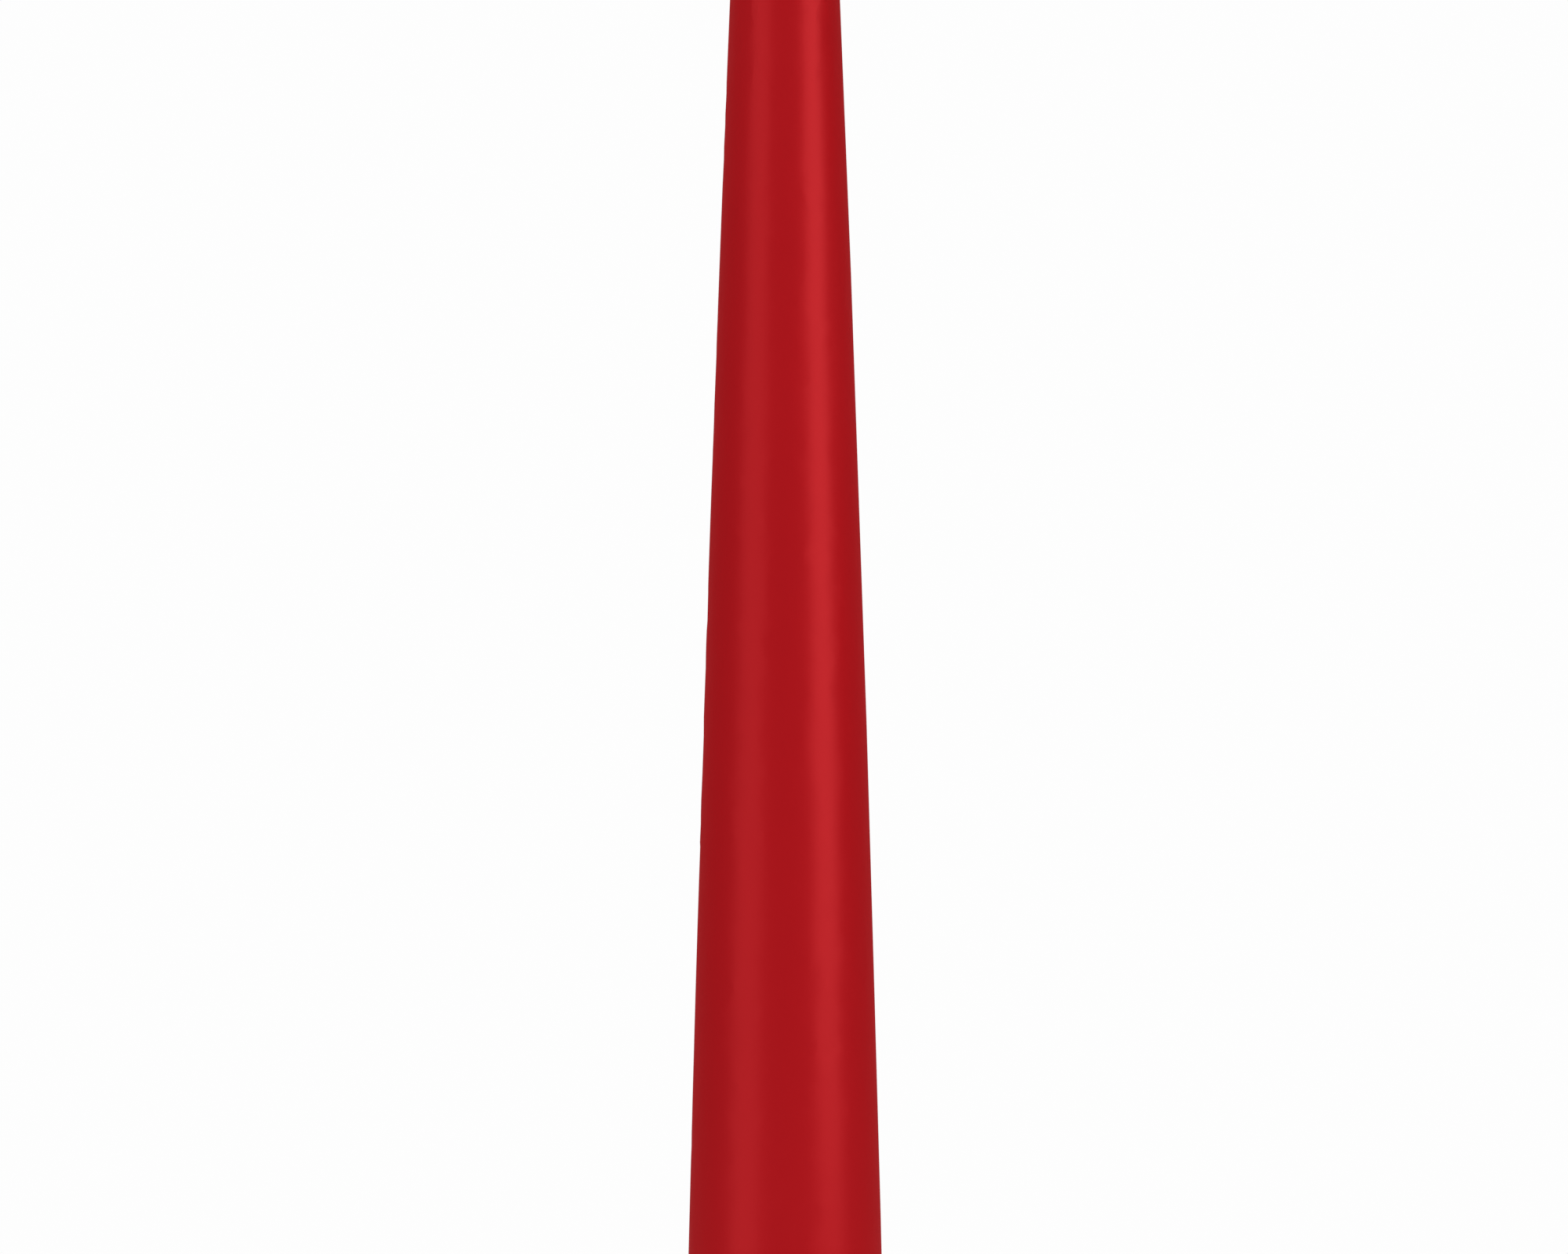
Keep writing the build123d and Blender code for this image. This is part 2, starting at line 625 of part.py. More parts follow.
def parts():
    bracketed_rod_x = BRACKET_FACE_X + BRACKET_ROD_GAP
    side_rod_x = THROAT_HOOP_X - THROAT_TUBE_R
    made = {
        "foundation_plate": foundation_plate(),
        "hinge_lug_left": hinge_lug(-1),
        "hinge_lug_right": hinge_lug(1),
        "hinge_pin": hinge_pin(),
        "hinge_pin_washer": hinge_pin_washer(),
        "split_pin": split_pin(),
        "mast": mast(),
        "mast_flange": mast_flange(),
        "gussets": group(gusset(a) for a in (0, 90, 180, 270)),
        "hinge_knuckle": hinge_knuckle(),
        "lock_bolts": group(lock_bolt(y) for y in (-LOCK_AT, LOCK_AT)),
        "lock_washers": group(lock_washer(y) for y in (-LOCK_AT, LOCK_AT)),
        "mast_plug": mast_plug(),
        "plug_screws": group(plug_screw(a) for a in PLUG_SCREW_ANGLES),
        "spindle": spindle(),
        "spindle_cross_pin": spindle_cross_pin(),
        "bearing_spacer": bearing_spacer(),
        "spindle_washer": spindle_washer(),
        "spindle_nut": spindle_nut(),
        "swivel_tube": swivel_tube(),
        "lip_seal": lip_seal(),
        "top_cap": top_cap(),
        "throat_hoop": throat_hoop(),
        "mid_hoop": hoop(seam_x(1), HOOP_TUBE_R),
        "rear_hoop": hoop(REAR_HOOP_X, HOOP_TUBE_R),
        "top_rod": basket_rod(TOP_ANGLE, bracketed_rod_x),
        "bottom_rod": basket_rod(BOTTOM_ANGLE, bracketed_rod_x),
        "side_rods": group(basket_rod(a, side_rod_x) for a in SIDE_ROD_ANGLES),
        "upper_hoop_bracket": hoop_bracket(1),
        "lower_hoop_bracket": hoop_bracket(-1),
        "bracket_screws": group(bracket_screw(side) for side in (1, -1)),
        "throat_hem": throat_hem(),
        "grommets": group(grommet(a) for a in tie_angles()),
        "sock_ties": group(sock_tie(a) for a in tie_angles()),
        "tail_hem": tail_hem(),
    }
    for name, z, upper in (("lower", LOWER_BEARING_Z, False), ("upper", UPPER_BEARING_Z, True)):
        made[f"{name}_bearing_inner_ring"] = bearing_inner_ring(z)
        made[f"{name}_bearing_outer_ring"] = bearing_outer_ring(z)
        made[f"{name}_bearing_balls"] = bearing_balls(z)
        made[f"{name}_circlip"] = circlip(upper)
    for band in range(1, BANDS + 1):
        made[f"sock_band_{band}"] = sock_band(band)
    return made


os.makedirs("parts", exist_ok=True)
for node, shape in parts().items():
    export_step(shape, f"parts/{node}.step")
for fold in range(BASKET_BANDS, BANDS):
    at = hung_point(fold_point(fold), fold - 1)
    print(f"fold {fold}: x {at.X:.3f}, z {at.Z:.3f}, rises {DROOP[fold - BASKET_BANDS]} degrees")
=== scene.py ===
import bmesh
import bpy
import json
import math
import numpy as np
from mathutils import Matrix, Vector, noise

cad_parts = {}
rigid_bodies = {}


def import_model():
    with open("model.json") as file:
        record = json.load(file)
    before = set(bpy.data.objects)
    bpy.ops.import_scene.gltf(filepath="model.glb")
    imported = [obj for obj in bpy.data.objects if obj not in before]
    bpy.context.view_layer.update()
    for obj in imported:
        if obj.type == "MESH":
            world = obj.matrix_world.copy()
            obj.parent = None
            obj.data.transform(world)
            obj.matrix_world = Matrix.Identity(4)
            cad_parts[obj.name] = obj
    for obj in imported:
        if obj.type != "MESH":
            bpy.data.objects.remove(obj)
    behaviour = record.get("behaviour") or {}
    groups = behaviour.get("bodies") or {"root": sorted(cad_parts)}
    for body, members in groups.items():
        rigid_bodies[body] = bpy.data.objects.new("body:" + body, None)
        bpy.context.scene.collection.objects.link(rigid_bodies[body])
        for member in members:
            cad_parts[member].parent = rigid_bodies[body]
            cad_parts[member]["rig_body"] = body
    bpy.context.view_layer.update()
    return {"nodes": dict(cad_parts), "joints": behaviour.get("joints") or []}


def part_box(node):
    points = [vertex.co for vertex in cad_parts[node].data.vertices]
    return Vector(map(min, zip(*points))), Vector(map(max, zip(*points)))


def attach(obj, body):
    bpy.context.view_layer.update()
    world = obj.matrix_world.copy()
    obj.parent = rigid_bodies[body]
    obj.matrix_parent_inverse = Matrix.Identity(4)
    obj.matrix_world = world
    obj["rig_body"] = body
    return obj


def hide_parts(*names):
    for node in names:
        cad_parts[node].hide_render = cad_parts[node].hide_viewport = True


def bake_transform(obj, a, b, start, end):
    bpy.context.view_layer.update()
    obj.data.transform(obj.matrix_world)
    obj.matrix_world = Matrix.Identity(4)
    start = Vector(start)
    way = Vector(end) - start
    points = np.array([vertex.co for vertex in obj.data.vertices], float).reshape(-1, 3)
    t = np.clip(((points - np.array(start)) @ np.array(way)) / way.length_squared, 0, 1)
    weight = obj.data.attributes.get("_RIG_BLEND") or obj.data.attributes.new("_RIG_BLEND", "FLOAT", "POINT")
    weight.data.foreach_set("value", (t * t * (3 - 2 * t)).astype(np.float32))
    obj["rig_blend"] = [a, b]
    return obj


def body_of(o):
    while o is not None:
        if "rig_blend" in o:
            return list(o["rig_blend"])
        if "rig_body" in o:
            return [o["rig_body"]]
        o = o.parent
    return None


# A heliport windsock on a tapered red mast. Metres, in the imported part's frame: +Z up, the sock towards +X.

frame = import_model()

# --- Sizes, from the frame ---

THROAT_R, TAIL_R = 0.300, 0.150
BANDS, BASKET_BANDS = 5, 2
CLOTH_MID = 0.001
CLOTH_THICK = 0.0009
SEAM_1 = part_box("sock_band_2")[0].x
SEAM_2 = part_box("sock_band_2")[1].x
BAND_L = SEAM_2 - SEAM_1
SOCK_X0 = SEAM_1 - BAND_L
SOCK_Z = sum(corner.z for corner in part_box("throat_hoop")) / 2
HEM_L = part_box("throat_hem")[1].x - SOCK_X0
MID_HOOP_X = sum(corner.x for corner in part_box("mid_hoop")) / 2
REAR_HOOP_X = sum(corner.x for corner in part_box("rear_hoop")) / 2
FOLDS = [j for j in frame["joints"] if j["name"].startswith("sock_fold")]
FREE_BODIES = [j["child"] for j in FOLDS]
DROOP = [math.radians(j["range_deg"][1]) for j in FOLDS]
FOLD_GAP = FOLDS[0]["pos_m"][0] - SEAM_2
BEND_L = (0.150, 0.190, 0.200)
ROD_ANGLES, BRACKET_ANGLES = (30, 90, 150, 210, 270, 330), (90, 270)
TIES = 12

# The cloth's grid: columns start at the bottom, where the lengthwise seam is, and rows run to the tail.
SIM_COLUMNS, SIM_ROWS = 96, 28
FINE = 2
COLUMNS, ROWS = SIM_COLUMNS * FINE, SIM_ROWS * FINE
ROW_L = BAND_L / ROWS


def cone_radius(x):
    """The cloth's middle radius at x, with the sock held straight out."""
    return THROAT_R - (THROAT_R - TAIL_R) * (x - SOCK_X0) / (BANDS * BAND_L) + CLOTH_MID


def seam_x(k):
    return SOCK_X0 + k * BAND_L


# --- Mesh helpers ---


def add_object(name, mesh, *materials):
    mesh.name = name
    obj = bpy.data.objects.new(name, mesh)
    bpy.context.scene.collection.objects.link(obj)
    for material in materials:
        mesh.materials.append(material)
    return obj


def piece(name, mesh, material, body):
    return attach(add_object(name, mesh, material), body)


def grid_faces(rows, columns, wrap_rows=False, wrap_columns=False):
    """Quads over a grid of points, as an (n, 4) array of indices."""
    i = np.arange(rows if wrap_rows else rows - 1)
    j = np.arange(columns if wrap_columns else columns - 1)
    i, j = (a.ravel() for a in np.meshgrid(i, j, indexing="ij"))
    up, over = (i + 1) % rows, (j + 1) % columns
    return np.stack([i * columns + j, i * columns + over, up * columns + over, up * columns + j], 1)


def mesh_of(points, faces):
    mesh = bpy.data.meshes.new("made")
    mesh.from_pydata(np.reshape(points, (-1, 3)).tolist(), [], faces)
    mesh.update()
    mesh.shade_smooth()
    return mesh


def grid_mesh(grid, **wrap):
    return mesh_of(grid, grid_faces(grid.shape[0], grid.shape[1], **wrap).tolist())


def face_outward(mesh):
    """Turns a closed mesh's faces outward."""
    bm = bmesh.new()
    bm.from_mesh(mesh)
    bmesh.ops.recalc_face_normals(bm, faces=bm.faces)
    bm.to_mesh(mesh)
    bm.free()
    return mesh


def unit(vectors):
    length = np.linalg.norm(vectors, axis=-1, keepdims=True)
    return vectors / np.maximum(length, 1e-12)


RIPPLE_PITCH = 0.004


def tube_sections(path, radius, sides, closed, ripple):
    """Rings round a path of points. A ripple gives the overlapping puddles of a weld."""
    path = np.asarray(path, float)
    ahead = np.roll(path, -1, 0) if closed else np.vstack([path[1:], 2 * path[-1] - path[-2]])
    behind = np.roll(path, 1, 0) if closed else np.vstack([2 * path[0] - path[1], path[:-1]])
    along = unit(ahead - behind)
    side = np.zeros_like(along)
    side[0] = unit(np.cross(along[0], (0.31, 0.83, 0.46)))
    for i in range(1, len(path)):
        side[i] = unit(side[i - 1] - along[i] * (side[i - 1] @ along[i]))
    up = np.cross(along, side)
    run = np.concatenate([[0], np.cumsum(np.linalg.norm(np.diff(path, axis=0), axis=1))])
    swell = radius * (1 + ripple * np.abs(np.sin(np.pi * run / RIPPLE_PITCH)))
    turn = np.arange(sides) / sides * 2 * np.pi
    ring = side[:, None] * np.cos(turn)[None, :, None] + up[:, None] * np.sin(turn)[None, :, None]
    return path[:, None] + ring * swell[:, None, None]


def tube_mesh(paths, radius, sides, closed=False, ripple=0.0):
    """One mesh of several tubes, open ones with capped ends."""
    points, faces, start = [], [], 0
    for path in paths:
        rings = tube_sections(path, radius, sides, closed, ripple)
        body = grid_faces(len(rings), sides, wrap_rows=closed, wrap_columns=True) + start
        faces += body.tolist()
        if not closed:
            faces.append(list(range(start, start + sides))[::-1])
            faces.append(list(range(start + (len(rings) - 1) * sides, start + len(rings) * sides)))
        points.append(rings.reshape(-1, 3))
        start += rings.shape[0] * sides
    return face_outward(mesh_of(np.concatenate(points), faces))


def lathe_mesh(outline, segments):
    """A closed outline of (radius, z) points turned round Z."""
    outline = np.array(outline, float)
    turn = np.arange(segments) / segments * 2 * np.pi
    ring = np.stack([np.cos(turn), np.sin(turn), np.zeros(segments)], 1)
    grid = outline[:, None, :1] * ring[None] + np.array([0, 0, 1.0]) * outline[:, None, 1:]
    return face_outward(grid_mesh(grid, wrap_rows=True, wrap_columns=True))


FLAT_ANGLE, SHARP_ANGLE, SHADED_SHARP_ANGLE = math.radians(0.4), math.radians(30), math.radians(35)


def edge_rounded(node, material, width):
    """A copy of a CAD node with its sharp edges rounded over, which stands for the node."""
    bm = bmesh.new()
    bm.from_mesh(frame["nodes"][node].data)
    bmesh.ops.remove_doubles(bm, verts=bm.verts, dist=1e-6)
    bmesh.ops.dissolve_limit(bm, angle_limit=FLAT_ANGLE, verts=bm.verts, edges=bm.edges)
    sharp = [e for e in bm.edges if e.is_manifold and e.calc_face_angle(0) > SHARP_ANGLE]
    bmesh.ops.bevel(bm, geom=sharp, offset=width, segments=2, profile=0.6, affect="EDGES", clamp_overlap=True)
    mesh = bpy.data.meshes.new("made")
    bm.to_mesh(mesh)
    bm.free()
    mesh.shade_smooth()
    mesh.set_sharp_from_angle(angle=SHADED_SHARP_ANGLE)
    obj = add_object(f"{node}_finished", mesh, material)
    obj.modifiers.new("Normals", "WEIGHTED_NORMAL").keep_sharp = True
    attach(obj, body_of(frame["nodes"][node])[0])
    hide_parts(node)


# --- Materials ---


class Nodes:
    """A node tree with a short call that adds a node."""

    def __init__(self, tree):
        self.tree = tree

    def put(self, target, value):
        """Links an input to an output, or sets its constant."""
        if isinstance(value, bpy.types.NodeSocket):
            self.tree.links.new(value, target)
        else:
            target.default_value = value

    def add(self, kind, inputs=(), output=0, **properties):
        """Adds a node, sets or links its inputs, and gives back one of its outputs."""
        made = self.tree.nodes.new(kind)
        for key, value in properties.items():
            setattr(made, key, value)
        for key, value in dict(inputs).items():
            self.put(made.inputs[key], value)
        return made.outputs[output]


class Paint(Nodes):
    """A Principled material with short calls for what it needs."""

    def __init__(self, name, color, roughness, metallic=0.0, **constants):
        self.material = bpy.data.materials.new(name)
        self.material.use_nodes = True
        super().__init__(self.material.node_tree)
        self.bsdf = self.tree.nodes["Principled BSDF"]
        self.material.diffuse_color = (*color, 1)
        self.set("Base Color", (*color, 1))
        self.set("Roughness", roughness)
        self.set("Metallic", metallic)
        for socket, value in constants.items():
            self.set(socket.replace("_", " "), value)

    def set(self, socket, value):
        self.put(self.bsdf.inputs[socket], value)

    def place(self):
        """Coordinates fixed to the piece, in metres."""
        return self.add("ShaderNodeTexCoord", output="Object")

    def cloth_place(self, scale=(1, 1, 1)):
        """Coordinates in the flat cloth, in metres: across the sock, then along it."""
        where = self.add("ShaderNodeAttribute", output="Vector", attribute_name="weave")
        return self.add("ShaderNodeMapping", {"Vector": where, "Scale": scale})

    def noise(self, where, scale, detail=3.0, rough=0.5):
        inputs = {"Vector": where, "Scale": scale, "Detail": detail, "Roughness": rough}
        return self.add("ShaderNodeTexNoise", inputs)

    def range(self, value, low, high, to_low, to_high):
        names = ("Value", "From Min", "From Max", "To Min", "To Max")
        return self.add("ShaderNodeMapRange", dict(zip(names, (value, low, high, to_low, to_high))))

    def math(self, operation, a, b=0.0):
        return self.add("ShaderNodeMath", {0: a, 1: b}, operation=operation)

    def mix(self, factor, a, b):
        made = self.tree.nodes.new("ShaderNodeMix")
        made.data_type = "RGBA"
        for socket, value in ((0, factor), (6, a), (7, b)):
            self.put(made.inputs[socket], (*value, 1) if isinstance(value, tuple) else value)
        return made.outputs[2]

    def tint(self, factor, a, b):
        self.set("Base Color", self.mix(factor, a, b))

    def patches(self, where, scale, detail, rough, low, high, most):
        """Noise cut to patches: 0 below low, the most above high."""
        return self.range(self.noise(where, scale, detail, rough), low, high, 0, most)

    def bump(self, height, depth, strength, under=None):
        inputs = {"Height": height, "Distance": depth, "Strength": strength}
        if under is not None:
            inputs["Normal"] = under
        normal = self.add("ShaderNodeBump", inputs)
        self.set("Normal", normal)
        return normal

    def waves(self, where, pitch, axis, **more):
        """Bands across one axis, a pitch apart."""
        wave = {"Vector": where, "Scale": 1 / (math.pi * pitch), "Distortion": 0.0, **more}
        return self.add("ShaderNodeTexWave", wave, output="Fac", bands_direction=axis)

    def surface(self, other, share):
        """Mixes another shader over the Principled one."""
        mixed = self.add("ShaderNodeMixShader", {0: share, 1: self.bsdf.outputs[0], 2: other})
        output = next(n for n in self.tree.nodes if n.type == "OUTPUT_MATERIAL")
        self.tree.links.new(mixed, output.inputs["Surface"])


def times(color, factor):
    return tuple(factor * c for c in color)


RED_LIGHT, RED_DARK = (0.416, 0.0042, 0.0078), (0.400, 0.0038, 0.0072)
DUST_TOP = 0.30
# The tie cord's two tones are one colour at two brightnesses: painted shade for its rib grooves and a painted
# highlight for its rib crests.
CORD_SHADED_GROOVE, CORD_LIT_CREST, CORD_PITCH = (0.020, 0.021, 0.024), (0.046, 0.0478, 0.0532), 0.004 / math.pi
THREAD_PITCH, RIPSTOP_PITCH, RIPSTOP_SHARE, RIB_PITCH = 0.0011, 0.0075, 0.13, 0.0016
LIGHT_THROUGH = 0.25


def powder_coat():
    """Glossy red powder coat with a faint orange peel, a little dusty near the ground."""
    paint = Paint("mast_red", RED_LIGHT, 0.37, 0.30, Coat_Weight=0.22, Coat_Roughness=0.33,
                  Specular_IOR_Level=0.0, Specular_Tint=(1.0, 0.05, 0.07, 1.0))
    where = paint.place()
    clouds = paint.noise(where, 1.7, 4.0)
    color = paint.mix(paint.range(clouds, 0.35, 0.65, 0, 1), RED_DARK, RED_LIGHT)
    height = paint.add("ShaderNodeSeparateXYZ", {"Vector": where}, output="Z")
    low = paint.range(height, 0.0, DUST_TOP, 1, 0)
    specks = paint.range(paint.noise(where, 520.0, 6.0, 0.7), 0.40, 0.75, 0.10, 0.22)
    dust = paint.math("MULTIPLY", paint.math("POWER", low, 2.0), specks)
    paint.tint(dust, color, (0.20, 0.13, 0.095))
    speckle = paint.noise(where, 9.0, 5.0, 0.6)
    rough = paint.range(speckle, 0.3, 0.7, 0.35, 0.39)
    paint.set("Roughness", paint.math("ADD", rough, paint.math("MULTIPLY", dust, 0.5)))
    paint.bump(paint.noise(where, 420.0, 2.0), 0.00006, 0.5)
    return paint.material


def galvanised():
    """Hot-dip zinc, weathered: faint spangles under a soft mottle, and a slightly uneven skin."""
    paint = Paint("galvanised_steel", (0.53, 0.55, 0.57), 0.5, 0.85)
    where = paint.place()
    cells = paint.add("ShaderNodeTexVoronoi", {"Vector": where, "Scale": 170.0}, output="Color")
    spangle = paint.add("ShaderNodeSeparateColor", {"Color": cells}, output=0)
    mottle = paint.noise(where, 45.0, 6.0, 0.62)
    tone = paint.math("ADD", paint.math("MULTIPLY", spangle, 0.12), mottle)
    paint.tint(paint.range(tone, 0.40, 0.76, 0, 1), (0.50, 0.52, 0.54), (0.60, 0.615, 0.62))
    paint.set("Roughness", paint.range(tone, 0.40, 0.76, 0.43, 0.54))
    paint.bump(paint.noise(where, 90.0, 4.0), 0.0003, 0.35)
    return paint.material


def stainless(name="stainless_steel", tint=(0.74, 0.735, 0.72), roughness=0.33):
    """Stainless with a fine grain and soft smears."""
    paint = Paint(name, tint, roughness, 1.0)
    where = paint.place()
    smears = paint.noise(where, 14.0, 5.0, 0.6)
    paint.tint(paint.range(smears, 0.35, 0.7, 0, 1), tint, times(tint, 0.88))
    grain = paint.noise(where, 900.0, 2.0)
    rough = paint.range(smears, 0.3, 0.7, roughness - 0.05, roughness + 0.06)
    paint.set("Roughness", paint.math("ADD", rough, paint.range(grain, 0.3, 0.7, -0.04, 0.04)))
    paint.bump(grain, 0.00004, 0.5)
    return paint.material


def cast_aluminium():
    """Sand-cast aluminium with a fine grain."""
    paint = Paint("cast_aluminium", (0.60, 0.61, 0.62), 0.48, 1.0)
    where = paint.place()
    grain = paint.noise(where, 620.0, 4.0, 0.7)
    stain = paint.patches(where, 22.0, 5.0, 0.5, 0.4, 0.72, 0.6)
    paint.tint(stain, (0.60, 0.61, 0.62), (0.40, 0.41, 0.41))
    paint.set("Roughness", paint.range(grain, 0.3, 0.7, 0.40, 0.58))
    paint.bump(grain, 0.00025, 0.6)
    return paint.material


def brass():
    """Rolled brass, dulled and browner in its hollows."""
    paint = Paint("brass", (0.72, 0.50, 0.20), 0.32, 1.0)
    where = paint.place()
    tarnish = paint.patches(where, 130.0, 5.0, 0.6, 0.42, 0.68, 0.8)
    paint.tint(tarnish, (0.74, 0.53, 0.23), (0.34, 0.20, 0.08))
    paint.set("Roughness", paint.range(tarnish, 0, 0.8, 0.24, 0.50))
    paint.bump(paint.noise(where, 600.0, 3.0), 0.00005, 0.5)
    return paint.material


def plain_steel():
    """Ground bearing steel with a film of grease."""
    paint = Paint("bearing_steel", (0.62, 0.62, 0.63), 0.16, 1.0)
    where = paint.place()
    film = paint.patches(where, 90.0, 4.0, 0.5, 0.4, 0.7, 0.5)
    paint.tint(film, (0.62, 0.62, 0.63), (0.42, 0.38, 0.30))
    paint.set("Roughness", paint.range(film, 0, 0.5, 0.12, 0.34))
    return paint.material


def rubber():
    paint = Paint("seal_rubber", (0.018, 0.018, 0.019), 0.62)
    where = paint.place()
    bloom = paint.patches(where, 60.0, 5.0, 0.5, 0.45, 0.75, 0.5)
    paint.tint(bloom, (0.018, 0.018, 0.019), (0.07, 0.068, 0.065))
    paint.bump(paint.noise(where, 500.0, 3.0), 0.0001, 0.5)
    return paint.material


def braid():
    """Braided cord: small diagonal ribs, with painted shade in the grooves between them and a painted highlight on
    their crests.
    """
    paint = Paint("tie_cord", CORD_SHADED_GROOVE, 0.7, Sheen_Weight=0.3)
    ribs = paint.waves(paint.place(), CORD_PITCH, "DIAGONAL", Distortion=1.5, Detail=1.0)
    # Painted shade and highlight: the cord runs from its shaded tone in the rib grooves to its lit tone on the
    # crests that the bump raises.
    paint.tint(ribs, CORD_SHADED_GROOVE, CORD_LIT_CREST)
    paint.bump(ribs, 0.0003, 0.7)
    return paint.material


def cloth(name, color, faded, soil):
    """Coated ripstop polyester that lets some light through: a plain weave with a ripstop square, sun-faded
    clouds and rain marks."""
    paint = Paint(name, color, 0.74, Sheen_Weight=0.12, Sheen_Roughness=0.45, Specular_IOR_Level=0.25)
    glow = [min(1, 1.25 * c + 0.02) for c in color]
    through = paint.add("ShaderNodeBsdfTranslucent", {"Color": (*glow, 1)})
    paint.surface(through, LIGHT_THROUGH)
    flat = paint.cloth_place()
    clouds = paint.patches(flat, 3.2, 5.0, 0.55, 0.35, 0.68, 1)
    base = paint.mix(clouds, color, faded)
    streaks = paint.noise(paint.cloth_place((26, 2.2, 1)), 1.0, 5.0, 0.6)
    marks = paint.range(streaks, 0.52, 0.80, 0, soil)
    base = paint.mix(marks, base, tuple(0.45 * c + 0.02 for c in color))
    weave = paint.math("MULTIPLY", paint.waves(flat, THREAD_PITCH, "X"), paint.waves(flat, THREAD_PITCH, "Y"))
    lines = []
    for axis in ("X", "Y"):
        where = paint.add("ShaderNodeSeparateXYZ", {"Vector": flat}, output=axis)
        inside = paint.math("FRACT", paint.math("MULTIPLY", where, 1 / RIPSTOP_PITCH))
        lines.append(paint.math("LESS_THAN", inside, RIPSTOP_SHARE))
    ripstop = paint.math("MAXIMUM", lines[0], lines[1])
    paint.tint(paint.math("MULTIPLY", ripstop, 0.16), base, times(color, 0.62))
    paint.set("Roughness", paint.range(clouds, 0, 1, 0.66, 0.82))
    crinkle = paint.bump(paint.noise(flat, 55.0, 6.0, 0.62), 0.0016, 0.30)
    height = paint.math("ADD", paint.math("MULTIPLY", ripstop, 0.7), weave)
    paint.bump(height, 0.00022, 0.55, under=crinkle)
    return paint.material


def webbing(name, color):
    """Tape with ribs across it."""
    paint = Paint(name, color, 0.8, Sheen_Weight=0.15, Specular_IOR_Level=0.25)
    flat = paint.cloth_place()
    ribs = paint.waves(flat, RIB_PITCH, "X", **{"Distortion": 0.4, "Detail Scale": 3.0})
    dirt = paint.patches(flat, 9.0, 6.0, 0.6, 0.42, 0.75, 0.45)
    soiled = times(color, 0.5)
    paint.tint(paint.math("MULTIPLY", ribs, 0.25), paint.mix(dirt, color, soiled), soiled)
    paint.bump(ribs, 0.0004, 0.7)
    return paint.material


def thread(name, color):
    paint = Paint(name, color, 0.6, Sheen_Weight=0.2)
    where = paint.place()
    twist = paint.noise(where, 1500.0, 2.0)
    paint.tint(paint.range(twist, 0.35, 0.65, 0, 1), color, times(color, 0.7))
    paint.bump(twist, 0.0001, 0.6)
    return paint.material


MAST_RED = powder_coat()
ZINC = galvanised()
STEEL = stainless()
WELD = stainless("steel_weld", (0.46, 0.42, 0.38), 0.42)
CAST = cast_aluminium()
BRASS = brass()
GROUND_STEEL = plain_steel()
RUBBER = rubber()
TIE_CORD = braid()
RED_CLOTH = cloth("red_cloth", (0.42, 0.0055, 0.0095), (0.48, 0.017, 0.019), 0.22)
WHITE_CLOTH = cloth("white_cloth", (0.76, 0.76, 0.74), (0.68, 0.68, 0.65), 0.30)
TAPE = webbing("webbing", (0.62, 0.60, 0.55))
RED_TAPE = webbing("red_webbing", (0.42, 0.012, 0.016))
WHITE_TAPE = webbing("white_webbing", (0.68, 0.67, 0.63))
WHITE_THREAD = thread("white_thread", (0.74, 0.73, 0.69))
RED_THREAD = thread("red_thread", (0.34, 0.010, 0.012))

# --- The cloth: where it is ---


def straight_rings(rows, columns, first_band, last_band):
    """Rings of the sock held straight out, rows by columns."""
    x = np.linspace(seam_x(first_band - 1), seam_x(last_band), rows)
    turn = np.arange(columns) / columns * 2 * np.pi - np.pi / 2
    r = cone_radius(x)
    ring = np.stack([np.zeros(columns), np.cos(turn), np.sin(turn)], 1)
    return np.stack([x, 0 * x, 0 * x + SOCK_Z], 1)[:, None] + r[:, None, None] * ring[None]


def hung(points, band):
    """Turns points of a straight free band down, about each fold before it, to where the sock hangs limp."""
    for k in range(band - 1, BASKET_BANDS - 1, -1):
        x0, z0 = seam_x(k) + FOLD_GAP, SOCK_Z + cone_radius(seam_x(k)) + CLOTH_MID
        a = DROOP[k - BASKET_BANDS]
        x, z = points[..., 0] - x0, points[..., 2] - z0
        x, z = x0 + x * math.cos(a) + z * math.sin(a), z0 - x * math.sin(a) + z * math.cos(a)
        points = np.stack([x, points[..., 1], z], -1)
    return points


def hung_start():
    """The free cloth's rings, straight and hanging: circles at the seams, with blends of them between."""
    straight = straight_rings((BANDS - BASKET_BANDS) * SIM_ROWS + 1, SIM_COLUMNS, BASKET_BANDS + 1, BANDS)
    hanging = straight.copy()
    for b in range(BANDS - BASKET_BANDS):
        band = BASKET_BANDS + 1 + b
        first = hung(straight[b * SIM_ROWS], band - 1)
        last = hung(straight[(b + 1) * SIM_ROWS], band)
        share = np.linspace(0, 1, SIM_ROWS + 1)[:, None, None]
        hanging[b * SIM_ROWS : (b + 1) * SIM_ROWS + 1] = first + (last - first) * share
    return straight, hanging


TOUCH_GAP = 0.004


def hoop_collider():
    """A short stiff tube where the basket ends, which the free cloth folds against."""
    x0, x1 = REAR_HOOP_X - 0.14, SEAM_2 - 0.003
    outline = []
    for x, offset in ((x0, 0.002), (x1, 0.0015), (x1, -0.011), (x0, -0.011)):
        outline.append((cone_radius(x) + offset, x))
    mesh = lathe_mesh(outline, 64)
    turned = np.array([(v.co.z, -v.co.y, v.co.x + SOCK_Z) for v in mesh.vertices], np.float32)
    mesh.vertices.foreach_set("co", turned.ravel())
    obj = add_object("collider", face_outward(mesh))
    obj.modifiers.new("Collision", "COLLISION")
    obj.collision.thickness_outer = TOUCH_GAP
    obj.collision.cloth_friction = 5
    return obj


SIM_FRAMES, SIM_MOVE = 70, 30


